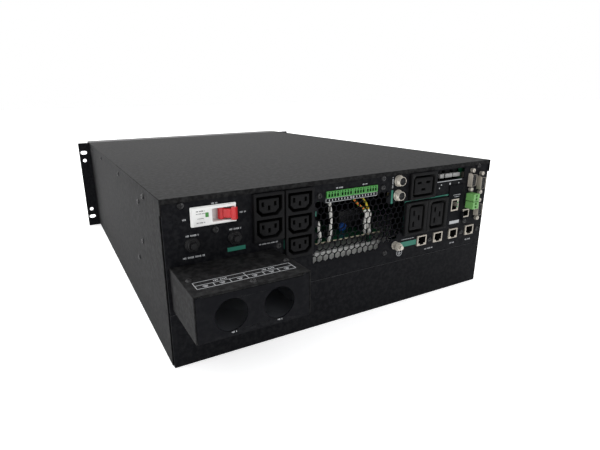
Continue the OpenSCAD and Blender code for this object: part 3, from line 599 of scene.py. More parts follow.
def striped_lead(name, ground, stripe_colour):
    """Insulation with a stripe that winds round as it goes, from a wave on the place."""
    material, tree = new_material(name)
    shader = tree.shader
    wave = tree.add("ShaderNodeTexWave", bands_direction="DIAGONAL")
    wave.inputs["Scale"].default_value = 70.0
    tree.link(tree.place(), wave.inputs["Vector"])
    stripe = tree.ramp(wave.outputs["Fac"], 0.7, 0.78)
    tone = placed(tree, "tone", Color=tree.mix(stripe, rgba(ground), rgba(stripe_colour)),
                  Roughness=0.4, Amount=0.08, Scale=60.0)
    tree.link(tone.outputs["Color"], shader.inputs["Base Color"])
    tree.link(tone.outputs["Roughness"], shader.inputs["Roughness"])
    return material


def lit(name, colour, strength):
    """A glowing mark on a display or a light pipe."""
    material, tree = new_material(name, Emission_Strength=strength, Roughness=0.4)
    shader = tree.shader
    glow = tree.mix(tree.noise(400.0, 1.0), rgba(colour), rgba([c * 0.7 for c in colour]))
    tree.link(glow, shader.inputs["Base Color"])
    tree.link(glow, shader.inputs["Emission Color"])
    return material


# label, colour, roughness, grain per metre, grain depth, tone drift, and what differs from a plain moulding
COATINGS = {
    # case and rear are the same powder coat: case is a lighter copy for the top cover and lid, painted light, and
    # rear a darker copy for the rear faces, painted shade
    "case": ("Powder coat lit copy", (0.005, 0.005, 0.0054), 0.65, 1500.0, 0.08, 0.02,
             dict(worn=(0.1, 0.1, 0.1), wear=0.15, dust=0.001, specular=0.1)),
    "rear": ("Powder coat shaded copy", (0.0036, 0.0039, 0.0056), 0.66, 1500.0, 0.08, 0.02,
             dict(worn=(0.06, 0.06, 0.06), wear=0.12, dust=0.001, specular=0.1)),
    "bezel": ("Bezel moulding", (0.02, 0.02, 0.022), 0.5, 1400.0, 0.4, 0.08, dict(dust=0.05)),
    "button": ("Button moulding", (0.045, 0.045, 0.05), 0.4, 1400.0, 0.2, 0.06, {}),
    "black": ("Outlet moulding", (0.01, 0.01, 0.011), 0.42, 1100.0, 0.25, 0.08,
              dict(dust=0.01, specular=0.3)),
    "island": ("Outlet core moulding", (0.0075, 0.0075, 0.0082), 0.58, 1100.0, 0.2, 0.05,
               dict(dust=0.003, specular=0.12)),
    # painted shade: a darker copy of the black moulding for the recesses of outlets, jacks and the port
    "painted_recess_shade": ("Painted recess shade", (0.004, 0.004, 0.004), 0.6, 1100.0, 0.2, 0.05,
               dict(dust=0.0, specular=0.15)),
    "grey": ("Grey moulding", (0.19, 0.19, 0.185), 0.45, 1100.0, 0.2, 0.1, {}),
    "pale_grey": ("Pale connector moulding", (0.4, 0.4, 0.39), 0.4, 1200.0, 0.1, 0.06, {}),
    "white": ("White moulding", (0.84, 0.84, 0.82), 0.32, 1200.0, 0.1, 0.04, dict(dust=0.02)),
    "red": ("Red lever moulding", (0.55, 0.018, 0.022), 0.3, 1200.0, 0.12, 0.06, dict(dust=0.02)),
    "green": ("Green header moulding", (0.045, 0.25, 0.04), 0.4, 1200.0, 0.15, 0.1, dict(dust=0.02)),
    "pale_green": ("Green plug moulding", (0.14, 0.35, 0.1), 0.38, 1200.0, 0.15, 0.1, dict(dust=0.02)),
    # painted shade: a darker copy of the header green for the walls inside its recess
    "green_recess_shade": ("Painted green recess shade", (0.006, 0.055, 0.01), 0.5, 1200.0, 0.1, 0.05, dict(dust=0.0)),
    # painted highlight: a paler colour for the top edge of the tray's rear wall, standing in for the light that
    # the edge catches
    "painted_edge_highlight": ("Painted edge highlight", (0.1, 0.1, 0.105), 0.5, 1100.0, 0.2, 0.1, {}),
    # painted light: a paler colour for the black-painted inside of the terminal box and the underside of its lid,
    # for the light that comes in by the front slot
    "painted_lit_inside": ("Painted lit inside face", (0.085, 0.09, 0.1), 0.5, 1100.0, 0.2, 0.1, {}),
    "board_edge": ("Cut board edge", (0.55, 0.5, 0.36), 0.6, 1500.0, 0.3, 0.1, {}),
    "block": ("Terminal block moulding", (0.035, 0.035, 0.037), 0.45, 1100.0, 0.2, 0.08, {}),
    "blue": ("Blue dipped part", (0.02, 0.09, 0.36), 0.3, 500.0, 0.3, 0.1, {}),
    "yellow": ("Film capacitor shell", (0.5, 0.33, 0.05), 0.4, 800.0, 0.15, 0.08, {}),
    "relay": ("Relay shell", (0.02, 0.02, 0.022), 0.35, 900.0, 0.15, 0.08, {}),
    "battery": ("Battery shell", (0.05, 0.052, 0.056), 0.5, 600.0, 0.5, 0.12, {}),
    "sleeve": ("Capacitor sleeve", (0.012, 0.025, 0.06), 0.25, 500.0, 0.1, 0.1, {}),
    "screw": ("Blackened screw", (0.014, 0.014, 0.015), 0.42, 1500.0, 0.2, 0.15,
              dict(worn=(0.2, 0.2, 0.2), wear=0.3, dust=0.004, specular=0.35, metallic=0.2)),
    "nickel": ("Nickel plate", (0.6, 0.56, 0.49), 0.28, 900.0, 0.1, 0.1,
               dict(dust=0.02, metallic=0.6, spread=60.0)),
    "tin": ("Tinned shield", (0.46, 0.42, 0.36), 0.36, 900.0, 0.15, 0.12,
            dict(dust=0.02, metallic=0.5, spread=80.0)),
    "gold": ("Gold contact", (0.75, 0.5, 0.16), 0.25, 900.0, 0.05, 0.1,
             dict(dust=0.0, metallic=1.0, spread=80.0)),
    "brass": ("Brass contact", (0.6, 0.45, 0.2), 0.35, 900.0, 0.1, 0.15,
              dict(dust=0.0, metallic=1.0, spread=80.0)),
    "copper": ("Enamelled copper", (0.42, 0.12, 0.04), 0.3, 900.0, 0.1, 0.15,
               dict(dust=0.0, metallic=0.9, spread=80.0)),
    "drawer": ("Drawer paint", (0.026, 0.026, 0.028), 0.42, 850.0, 0.3, 0.1,
               dict(worn=(0.25, 0.25, 0.25), wear=0.4)),
    "mark": ("White print", (0.42, 0.43, 0.44), 0.5, 2500.0, 0.1, 0.12,
             dict(dust=0.02, specular=0.3, spread=300.0)),
    "teal": ("Teal print", (0.018, 0.16, 0.11), 0.45, 2500.0, 0.1, 0.12,
             dict(dust=0.02, specular=0.4, spread=200.0)),
    "window": ("Tinted window", (0.006, 0.008, 0.01), 0.08, 300.0, 0.0, 0.02, dict(dust=0.02)),
    "sleeve_white": ("Glass fibre sleeve", (0.86, 0.85, 0.8), 0.7, 2200.0, 0.9, 0.15, {}),
}
MATERIALS = {}


def make_materials():
    """Every finish of the power supply, by a maker's plain name."""
    make = MATERIALS
    for key, (label, colour, roughness, grain, depth, drift, more) in COATINGS.items():
        make[key] = coated(label, colour, roughness, grain, depth, drift, **more)
    make["aluminium"] = brushed("Mill aluminium", (0.6, 0.61, 0.62), 0.36, (60.0, 1.0, 1.0))
    make["zinc"] = galvanised("Zinc sheet")
    make["board"] = board_material("Circuit board")
    make["earth"] = striped_lead("Earth lead", (0.75, 0.2, 0.03), (0.05, 0.3, 0.03))
    make["earth_pale"] = striped_lead("Pale earth lead", (0.85, 0.6, 0.03), (0.4, 0.5, 0.04))
    make["glow"] = lit("Display segment", (0.25, 0.7, 0.85), 1.2)
    make["lamp"] = lit("Light pipe", (0.04, 0.22, 0.08), 0.15)


# ---------------------------------------------------------------- properties


class PrintSettings(bpy.types.PropertyGroup):
    thickness: bpy.props.FloatProperty(
        name="Print thickness", description="How far printed marks stand above the paint",
        default=0.00006, min=0.00002, max=0.0004, precision=5, subtype="DISTANCE", unit="LENGTH")
    edge: bpy.props.FloatProperty(
        name="Edge rounding", description="Radius of the folded and cut sheet edges",
        default=0.0003, min=0.0, max=0.001, precision=5, subtype="DISTANCE", unit="LENGTH")


class StageSettings(bpy.types.PropertyGroup):
    floor: bpy.props.FloatVectorProperty(
        name="Floor colour", description="Colour of the plain floor", subtype="COLOR",
        default=(0.96, 0.96, 0.96), min=0.0, max=1.0)
    floor_lift: bpy.props.FloatProperty(
        name="Floor lift", description="Light added to the floor as the camera sees it, to soften shadows",
        default=0.5, min=0.0, max=1.0)
    camera_place: bpy.props.FloatVectorProperty(
        name="Camera place", description="Where the camera stands", subtype="TRANSLATION", unit="LENGTH",
        default=(0.3005, 0.6452, 0.2574))
    camera_turn: bpy.props.FloatVectorProperty(
        name="Camera heading, pitch and roll",
        description="Turns about Z, about the camera's X and about its view",
        subtype="EULER", unit="ROTATION", default=(2.66435679, 1.27619941, -0.01650556))
    sky: bpy.props.FloatVectorProperty(
        name="Room light", description="Even light of the white room", subtype="COLOR",
        default=(0.92, 0.925, 0.94),
        min=0.0, max=4.0)
    mirror: bpy.props.FloatVectorProperty(
        name="Mirrored room",
        description="Brightness that shiny faces see ahead of the unit and behind the camera",
        size=2, default=(1.2, 0.06), min=0.0, max=4.0)
    mirror_turn: bpy.props.FloatVectorProperty(
        name="Mirrored span",
        description="Where the mirrored room starts and stops to darken towards the camera",
        size=2, default=(-0.5, 0.3), min=-1.0, max=1.0)
    focal: bpy.props.FloatProperty(
        name="Focal length", description="Lens length on a 36 mm wide sensor", default=25.642, min=10.0,
        max=200.0,
        unit="CAMERA")
    shift: bpy.props.FloatVectorProperty(
        name="Lens shift",
        description="Sideways and upward shift of the lens, as parts of the picture's width",
        size=2, default=(0.04965, 0.000775))


def settings():
    scene = bpy.context.scene
    return scene.supply_print, scene.supply_stage


# ---------------------------------------------------------------- operators


class PieceOperator:
    """What every building step shares."""

    bl_options = {"REGISTER", "UNDO"}


class SUPPLY_OT_sheets(PieceOperator, bpy.types.Operator):
    """Folded cover, tray, rear panel, ears, deck and inner plates, with rounded edges and powder coat, and a
    painted highlight along the top edge of the tray's rear wall.
    """

    bl_idname = "supply.sheets"
    bl_label = "Sheets"

    def execute(self, context):
        edge = settings()[0].edge
        # the top cover takes the lighter copy of the powder coat, painted light; the rear faces below take the
        # darker copy, painted shade
        dressed("top_cover", "case", edge * 2)
        wall_top = corners("base_tray")[1][2]
        # painted highlight: the faces along the top edge of the tray's rear wall take a paler colour for the light
        # they catch
        rim = in_box([-0.2195, REAR_Y - 6 * MM, wall_top - 0.1 * MM],
                     [0.2195, REAR_Y + 6 * MM, wall_top + 0.1 * MM])
        dressed("base_tray", "rear", edge * 0.7, zones=[("painted_edge_highlight", rim)])
        dressed("rear_panel", "rear", edge * 0.7)
        for node in ("rack_ear_left", "rack_ear_right"):
            dressed(node, "rear", edge)
        dressed("front_bulkhead", "rear", edge * 0.5)
        for node in ("middle_deck", "centre_web"):
            dressed(node, "zinc", edge * 0.5)
        return {"FINISHED"}


class SUPPLY_OT_fasteners(PieceOperator, bpy.types.Operator):
    """Blackened screws of the case sides and the rear panel."""

    bl_idname = "supply.fasteners"
    bl_label = "Screws"

    def execute(self, context):
        for node in ("case_screws", "panel_screws"):
            dressed(node, "screw", 0.15 * MM)
        return {"FINISHED"}


class SUPPLY_OT_front(PieceOperator, bpy.types.Operator):
    """Moulded bezel, display window and board, and the buttons."""

    bl_idname = "supply.front"
    bl_label = "Front"

    def execute(self, context):
        dressed("front_bezel", "bezel", 0.6 * MM)
        dressed("display_window", "window", 0.3 * MM)
        painted("display_board", "board")
        for node in ("nav_button_1", "nav_button_2", "nav_button_3", "nav_button_4", "power_button"):
            dressed(node, "button", 0.5 * MM)
        self.screen()
        self.signs()
        return {"FINISHED"}

    @staticmethod
    def screen():
        """What the display shows: a level scale of ten bars, a battery sign and two rows of plain dashes."""
        low, high = corners("display_window")
        x, z = (low + high)[[0, 2]] / 2
        thick = 0.05 * MM
        pitch, wide, foot, rise = 4, 2.8, -13, 0.7
        rows = []
        for k in range(10):
            left = -28 + pitch * k
            top = foot + 2.5 + rise * k
            rows.append(bar(left * MM, foot * MM, (left + wide) * MM, top * MM, -SINK, thick))
        for x0, z0, x1, z1 in ((17, -1, 27, -0.4), (17, 6.4, 27, 7), (17, -1, 17.6, 7), (26.4, -1, 27, 7),
                               (27, 1.6, 28.2, 4.4), (18.4, 0.4, 20.6, 5.6), (21.2, 0.4, 23.4, 5.6)):
            rows.append(bar(x0 * MM, z0 * MM, x1 * MM, z1 * MM, -SINK, thick))
        for up, wide, tall in ((10, 34, 3.2), (3.5, 26, 2.4)):
            rows.append(moved(dashes(wide, tall, thick), ((wide / 2 - 28) * MM, up * MM, 0)))
        new_piece("display_content", at_front(joined(rows), x, z, FRONT_Y - low[1]), "glow", "display_window")

    @staticmethod
    def signs():
        """Generic signs on the buttons: two arrows, a return arrow, a ring, and a ring with a stroke for
        power."""
        thick = settings()[0].thickness

        def ring(outer, inner):
            return lathe(np.array([[outer, -0.02], [outer, 0.06], [inner, 0.06], [inner, -0.02]]) * MM, 32,
                         loop=True)

        def flat(*points):
            return block(np.array(points, float) * MM, -SINK, thick)

        signs = {
            "nav_button_1": [flat([-2, -1.2], [2, -1.2], [0, 1.8])],
            "nav_button_2": [flat([-2, 1.2], [0, -1.8], [2, 1.2])],
            "nav_button_3": [flat([-1.8, 0], [1.2, -2], [1.2, 2])], "nav_button_4": [ring(2.0, 1.45)],
            "power_button": [ring(3.6, 3.0), bar(-0.3 * MM, 1 * MM, 0.3 * MM, 4.8 * MM, -SINK, thick)],
        }
        for node, shapes in signs.items():
            low, high = corners(node)
            x, z = (low + high)[[0, 2]] / 2
            new_piece(node + "_sign", at_front(joined(shapes), x, z, FRONT_Y - low[1]), "mark", node)


class SUPPLY_OT_breakers(PieceOperator, bpy.types.Operator):
    """Mains breaker with its lever, and the two reset breakers with their nuts and buttons."""

    bl_idname = "supply.breakers"
    bl_label = "Breakers"

    def execute(self, context):
        dressed("mains_breaker", "white", 0.4 * MM)
        dressed("mains_breaker_lever", "red", 0.5 * MM)
        dressed("reset_breakers", "black", 0.2 * MM)
        dressed("reset_breaker_nuts", "black", 0.3 * MM)
        for node in ("reset_button_left", "reset_button_right"):
            dressed(node, "black", 0.5 * MM)
        self.face_marks()
        return {"FINISHED"}

    @staticmethod
    def face_marks():
        """A green flag and rows of plain dashes on the breaker's face, which stands proud of the panel."""
        low, high = corners("mains_breaker")
        x, z = high[0] - 9 * MM, (low[2] + high[2]) / 2
        out, thick = high[1] - REAR_Y, settings()[0].thickness
        lines = ((5.6, 1.2), (3.2, 0.9), (-5.4, 1.1))
        rows = [moved(dashes(8.5, tall, thick), (0, up * MM, 0)) for up, tall in lines]
        rows.append(bar(-3 * MM, -1.6 * MM, 3 * MM, -1.2 * MM, -SINK, thick))
        new_piece("breaker_marks", at_rear(joined(rows), x, z, out), "relay", "mains_breaker")
        flag = block(round_outline(3.2 * MM, 4.4 * MM, 0.4 * MM), -SINK, 0.25 * MM, 0.1 * MM)
        new_piece("breaker_flag", at_rear(flag, high[0] - 15.4 * MM, z + 1.6 * MM, out), "green",
                  "mains_breaker")


class SUPPLY_OT_outlets(PieceOperator, bpy.types.Operator):
    """Outlet mouldings with painted shade in their recesses, and their contacts."""

    bl_idname = "supply.outlets"
    bl_label = "Outlets"

    def execute(self, context):
        island_out, deep = 3.45 * MM, 40 * MM
        for node in ("outlet_strip_two", "outlet_strip_three", "large_outlet_level", "large_outlets_upright"):
            low, high = corners(node)
            margin = np.array([1.9, 0, 3.6]) * MM if "strip" in node else np.array([2.6, 0, 2.9]) * MM
            if node == "large_outlet_level":
                margin = np.array([2.9, 0, 2.6]) * MM
            # painted shade: the recess round each outlet core takes the darker copy
            recess = in_box([low[0] + margin[0], REAR_Y - deep, low[2] + margin[2]],
                            [high[0] - margin[0], REAR_Y + island_out, high[2] - margin[2]])
            dressed(node, "island", 0.45 * MM, zones=[("painted_recess_shade", recess)])
        painted("outlet_contacts", "brass")
        return {"FINISHED"}


def nine_pin_centres():
    """x and z of the three nine-pin sockets: half a flange in from the box of the node they share."""
    low, high = corners("dsub_sockets")
    wide, tall = 6.2 * MM, 15.4 * MM
    return [(high[0] - wide, high[2] - tall), (low[0] + wide, low[2] + tall + 36 * MM),
            (low[0] + wide, low[2] + tall)]


class SUPPLY_OT_connectors(PieceOperator, bpy.types.Operator):
    """Signal headers, sensor sockets, earth stud, jacks, ports and plugs."""

    bl_idname = "supply.connectors"
    bl_label = "Connectors"

    def execute(self, context):
        finishes = {
            "signal_headers": "green", "sensor_sockets": "nickel", "sensor_socket_nuts": "nickel",
            "ground_stud": "nickel", "ground_nuts": "nickel", "network_jacks": "tin", "network_card": "rear",
            "usb_port": "tin", "dsub_sockets": "tin", "dsub_jackscrews": "nickel",
            "green_plugs": "pale_green", "accessory_bay": "pale_grey",
        }
        for node, finish in finishes.items():
            dressed(node, finish, 0.2 * MM, zones=self.zones(node))
        self.light_pipes()
        return {"FINISHED"}

    @staticmethod
    def light_pipes():
        """Two square pipes beside the jack of the network card."""
        spot = OPENINGS["card_jack"]
        pipe = block(round_outline(1.9 * MM, 1.9 * MM, 0.3 * MM), -0.1 * MM, 0.3 * MM, 0.12 * MM)
        x = spot[0][0] - 3.2 * MM
        pipes = [at_rear(pipe, x, z, 1.4 * MM) for z in (spot[0][2] + 3 * MM, spot[1][2] - 3 * MM)]
        new_piece("light_pipes", joined(pipes), "lamp", "network_card")

    @staticmethod
    def zones(node):
        """Painted shade in the hollows, plastic inserts and gold contacts, found from the frame's stated openings.
        """
        back, rim = REAR_Y - 40 * MM, REAR_Y + 1.1 * MM
        rows = []
        if node == "network_jacks":
            for k in range(4):
                low, high = OPENINGS["network_jack_%d" % (k + 1)]
                x, z = (low[0] + high[0]) / 2, low[2] + 3.3 * MM
                # painted shade inside each jack opening
                rows.append(("painted_recess_shade", in_box([x - 6.2 * MM, back, z - 5.6 * MM],
                                              [x + 6.2 * MM, rim, z + 5.2 * MM])))
                rows.append(("gold", in_box([x - 4.4 * MM, REAR_Y - 12 * MM, z + 1.5 * MM],
                                            [x + 4.4 * MM, REAR_Y - 4.8 * MM, z + 4.9 * MM])))
        if node == "network_card":
            low, high = OPENINGS["card_jack"]
            x, z = low[0] + 1.5 * MM, (low[2] + high[2]) / 2
            shell = in_box([x - 8 * MM, back, z - 8.2 * MM], [x + 8 * MM, REAR_Y + 2 * MM, z + 8.2 * MM])
            rows.append(("tin", shell))
            rows.append(("painted_recess_shade", in_box([x - 5.2 * MM, back, z - 6.2 * MM],
                                          [x + 5.6 * MM, rim, z + 6.2 * MM])))
            rows.append(("board", in_box([x + 6.9 * MM, back - 60 * MM, z - 30 * MM],
                                         [x + 20 * MM, REAR_Y - 0.4 * MM, z + 30 * MM])))
        if node == "usb_port":
            low, high = OPENINGS["peripheral_port"]
            rows.append(("painted_recess_shade", in_box([low[0] - 0.3 * MM, back, low[2] - 0.3 * MM],
                                          [high[0] + 0.3 * MM, rim, high[2] + 2.7 * MM])))
        if node == "sensor_sockets":
            for name in ("sensor_socket_upper", "sensor_socket_lower"):
                spot = MOUNTS[name]["pos_m"]
                rows.append(("black", near_line(spot, 1, 4.7 * MM, REAR_Y - 1 * MM, REAR_Y + 6.9 * MM)))
        if node == "signal_headers":
            low, high = corners(node)
            # painted shade on the inner walls of the header recess
            rows.append(("green_recess_shade", in_box([low[0] + MM, back, low[2] + MM],
                                              [high[0] - MM, high[1] - 0.1 * MM, high[2] - MM])))
        if node == "accessory_bay":
            low, high = corners(node)
            rows.append(("island", in_box([low[0], back, (low[2] + high[2]) / 2], high)))
            rows.append(("relay", in_box(low - 0.001, [high[0] + 0.001, low[1] + 1.7 * MM, high[2] + 0.001])))
        if node == "dsub_sockets":
            for x, z in nine_pin_centres():
                rows.append(("black", in_box([x - 3.6 * MM, REAR_Y, z - 7.9 * MM],
                                             [x + 3.6 * MM, REAR_Y + 6.3 * MM, z + 7.9 * MM])))
        return rows


class SUPPLY_OT_terminal_box(PieceOperator, bpy.types.Operator):
    """Cable terminal box with its lid, terminal block and screws, with painted light on the inside faces of the
    box and under the lid.
    """

    bl_idname = "supply.terminal_box"
    bl_label = "Terminal box"

    def execute(self, context):
        low, high = corners("terminal_box")
        inner = np.array([low + [0.9 * MM, -MM, 0.9 * MM], high - [0.9 * MM, 0.9 * MM, -MM]])
        # painted light: the inside faces of the box take the paler colour
        dressed("terminal_box", "rear", 0.3 * MM, zones=[("painted_lit_inside", in_box(*inner))])
        low, high = corners("terminal_box_cover")
        # painted light: the underside of the lid takes the same paler colour
        under = in_box([low[0] + 1.4 * MM, low[1], low[2]],
                       [high[0] - 1.4 * MM, high[1] - 1.4 * MM, high[2] - 1.1 * MM])
        dressed("terminal_box_cover", "case", 0.4 * MM, zones=[("painted_lit_inside", under)])
        dressed("terminal_block", "block", 0.4 * MM)
        lid = corners("terminal_box_cover")[1][2]
        dressed("terminal_screws", "nickel", 0.2 * MM,
                zones=[("screw", in_box([-1, -1, lid - 7 * MM], [1, 1, 1]))])
        return {"FINISHED"}


class SUPPLY_OT_electronics(PieceOperator, bpy.types.Operator):
    """Boards, heatsinks, capacitors, chokes and small parts inside."""

    bl_idname = "supply.electronics"
    bl_label = "Electronics"

    def execute(self, context):
        back = corners("power_board")[1][1]
        rim = in_box([-1, back - 0.2 * MM, 0], [1, back + 0.2 * MM, 1])
        dressed("power_board", "board", 0.1 * MM, zones=[("board_edge", rim)])
        dressed("communication_board", "board", 0.1 * MM)
        dressed("heatsinks", "aluminium", 0.2 * MM)
        self.capacitors()
        self.chokes()
        self.parts()
        self.leads()
        return {"FINISHED"}

    @staticmethod
    def capacitors():
        """Sleeved cans with a rolled groove near the foot, and a bare top disc with three pressed lines drawn as
        near-black bars: painted shade of the pressed grooves.
        """
        low, high = corners("bus_capacitors")
        tall = (high[2] - low[2]) / MM
        can = lathe(np.array([[0.4, 0], [14.2, 0], [15, 0.8], [15, 3.6], [14.1, 4.7], [15, 5.8],
                              [15, tall - 2.4], [14.3, tall - 1.1], [12.6, tall - 1.0],
                              [12.6, tall - 1.6], [0.4, tall - 1.6]]) * MM, 40)
        disc = lathe(np.array([[12.4, tall - 1.9], [12.4, tall - 0.2], [12.0, tall], [0.3, tall]]) * MM, 40)
        # painted shade: each pressed groove of the aluminium top is a thin near-black bar
        line = bar(-8 * MM, -0.35 * MM, 8 * MM, 0.35 * MM, (tall - 0.1) * MM, (tall + 0.12) * MM)
        lines = [moved(line, turn=turned("Z", k * math.pi / 3)) for k in range(3)]
        spots = [(x * MM, y * MM, low[2]) for x in (-50, -17, 17, 50) for y in (-188, -155, -122)]
        cans = new_piece("capacitor_cans", joined([moved(can, spot) for spot in spots]), "sleeve",
                         "bus_capacitors")
        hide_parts("bus_capacitors")
        for name, shapes, finish in (("capacitor_tops", [disc], "aluminium"),
                                     ("capacitor_groove_shade", lines, "relay")):
            whole = joined([moved(joined(shapes), spot) for spot in spots])
            new_piece(name, whole, finish, "bus_capacitors")

    @staticmethod
    def chokes():
        """Ring chokes: a coated core in a base, wound with thick wire whose turns go round the ring."""
        low, high = corners("power_inductors")
        windings, bases = [], []
        turns, stations = 26, 14
        steps = np.linspace(0, 2 * math.pi, turns * stations, endpoint=False)
        ring, wire, reach = 16 * MM, 0.95 * MM, 7.4 * MM
        way = steps * 0.86
        spread = ring + reach * np.cos(steps * turns)
        coil = np.stack([spread * np.cos(way), spread * np.sin(way), reach * 0.95 * np.sin(steps * turns)],
                        axis=-1)
        winding = tube(coil, wire, 8, (0.02, 0.01, 1.0))
        for x in (low[0] + 24 * MM, high[0] - 24 * MM):
            for y in np.linspace(low[1] + 24 * MM, high[1] - 24 * MM, 3):
                windings.append(moved(winding, (x, y, low[2] + 16 * MM)))
                base = block(round_outline(47.6 * MM, 47.6 * MM, 3 * MM), 0, 4 * MM, 0.6 * MM)
                post = lathe([[5 * MM, 3 * MM], [5 * MM, 26 * MM], [4.4 * MM, 26.6 * MM],
                              [0.3 * MM, 26.6 * MM]], 24)
                bases.append(moved(joined([base, post]), (x, y, low[2])))
                core = np.stack([ring + 5.9 * MM * np.cos(steps[::14]), 5.9 * MM * np.sin(steps[::14])],
                                axis=-1)
                bases.append(moved(lathe(core, 40, loop=True), (x, y, low[2] + 16 * MM)))
        wound = new_piece("choke_windings", joined(windings), "copper", "power_inductors")
        new_piece("choke_bases", joined(bases), "relay", "battery_blocks_left", "case")
        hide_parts("power_inductors")

    @staticmethod
    def parts():
        """Each small part gets its own case colour by its place on the board."""
        back = corners("power_board")[1][1]
        dressed("board_parts", "relay", 0.5 * MM, zones=[
            ("yellow", in_box([-0.05, 0.10, 0], [0.05, 0.135, 1])),
            ("blue", in_box([-0.032, back - 27 * MM, 0], [-0.012, back - 20 * MM, 1])),
            ("grey", in_box([0.0, 0.17, 0], [0.05, 0.205, 1])),
        ])

    @staticmethod
    def leads():
        """Sleeved leads and striped earth leads between the rear fittings and the board, on smooth curves."""
        sleeves = [
            [(42, 262, 121), (40.5, 261, 115), (38, 259, 108), (35, 256, 101), (32, 251, 94.5),
             (30.5, 248, 90.5)],
            [(28, 263, 146), (26.5, 262, 138), (24.5, 261, 128), (22.5, 259, 117), (19, 254, 103),
             (15.5, 246, 90.5)],
            [(-25, 260, 126), (-27.6, 260.5, 120), (-29.5, 257, 110), (-32, 254, 100), (-37, 249, 94),
             (-40.5, 245, 90.5)],
            [(-30.5, 260, 126), (-33, 260.5, 119.5), (-35, 257, 110), (-38.5, 254, 99.5), (-43, 250, 94),
             (-46, 246, 90.5)],
        ]
        earths = [
            [(2, 263, 147), (-6, 262, 142), (-15, 261, 134), (-22, 260, 129), (-25, 260, 126)],
            [(-10, 263, 148), (-19, 262, 142), (-26, 261, 134), (-30.5, 260, 126)],
        ]
        shapes = [tube(smooth_path(np.array(route) * MM, 10), 2.0 * MM, 16,
                       (1.0, 0.2, 0.1)) for route in sleeves]
        white = new_piece("sleeved_leads", joined(shapes), "sleeve_white", "inner_wires")
        for route, name, finish in zip(earths, ("earth_lead_left", "earth_lead_right"),
                                       ("earth", "earth_pale")):
            lead = tube(smooth_path(np.array(route) * MM, 10), 1.5 * MM, 16, (1.0, 0.2, 0.1))
            new_piece(name, lead, finish, "inner_wires")
        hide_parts("inner_wires")


class SUPPLY_OT_fans(PieceOperator, bpy.types.Operator):
    """Fan frames, and rotors with curved blades that thin towards the tip."""

    bl_idname = "supply.fans"
    bl_label = "Fans"

    def execute(self, context):
        dressed("fan_frames", "black")
        for k in (1, 2, 3):
            node = "fan_rotor_%d" % k
            low, high = corners(node)
            spot = next(j["pos_m"] for j in frame["joints"] if j["name"] == "fan_%d_spin" % k)
            depth = high[1] - low[1]
            shape = moved(self.rotor(depth), turn=turned("X", -math.pi / 2))
            rotor = new_piece(node + "_blades", moved(shape, (spot[0], low[1], spot[2])), "relay",
                              node)
            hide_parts(node)
            cap = lathe([[11.5 * MM, 0.02 * MM], [11.5 * MM, -0.04 * MM], [0.4 * MM, -0.04 * MM]], 40)
            label = moved(cap, turn=turned("X", -math.pi / 2))
            new_piece("fan_hub_label_%d" % k, moved(label, (spot[0], low[1], spot[2])), "tin",
                      node)
        return {"FINISHED"}

    @staticmethod
    def rotor(depth):
        """Hub and seven blades, front face at height 0. A blade section is a thin lens on a chord that leans
        more at the hub than at the tip and sweeps back with the square of the radius."""
        hub_r, tip_r = 17 * MM, 36.2 * MM
        hub = lathe([[0.5 * MM, 0], [15.4 * MM, 0], [16.6 * MM, 0.5 * MM], [hub_r, 1.6 * MM], [hub_r, depth],
                     [15.5 * MM, depth], [15.5 * MM, 4 * MM], [1.53 * MM, 4 * MM]], 56)
        reach = np.linspace(0, 1, 9)
        across = np.linspace(0, 2 * math.pi, 20, endpoint=False)
        chord = (1 - np.cos(across)) / 2 - 0.5
        radius = hub_r - 1.2 * MM + reach * (tip_r - hub_r + 1.2 * MM)
        length = (17 + 7 * reach) * MM
        lean = np.radians(52 - 20 * reach)
        sweep = 0.32 * reach**2
        thick = (1.3 - 0.5 * reach) * MM
        camber = 1.8 * MM * (1 - 4 * chord**2)
        along = chord[None] * length[:, None]
        lift = camber[None] + np.sin(across)[None] * thick[:, None] / 2
        turn_way = along * np.cos(lean)[:, None] - lift * np.sin(lean)[:, None]
        height = along * np.sin(lean)[:, None] + lift * np.cos(lean)[:, None]
        height = np.clip(height + depth / 2, 0.2 * MM, depth - 0.2 * MM)
        angle = turn_way / radius[:, None] + sweep[:, None]
        rings = np.stack([radius[:, None] * np.cos(angle), radius[:, None] * np.sin(angle), height], axis=-1)
        blade = skin(rings)
        return joined([hub] + [moved(blade, turn=turned("Z", k * 2 * math.pi / 7)) for k in range(7)])


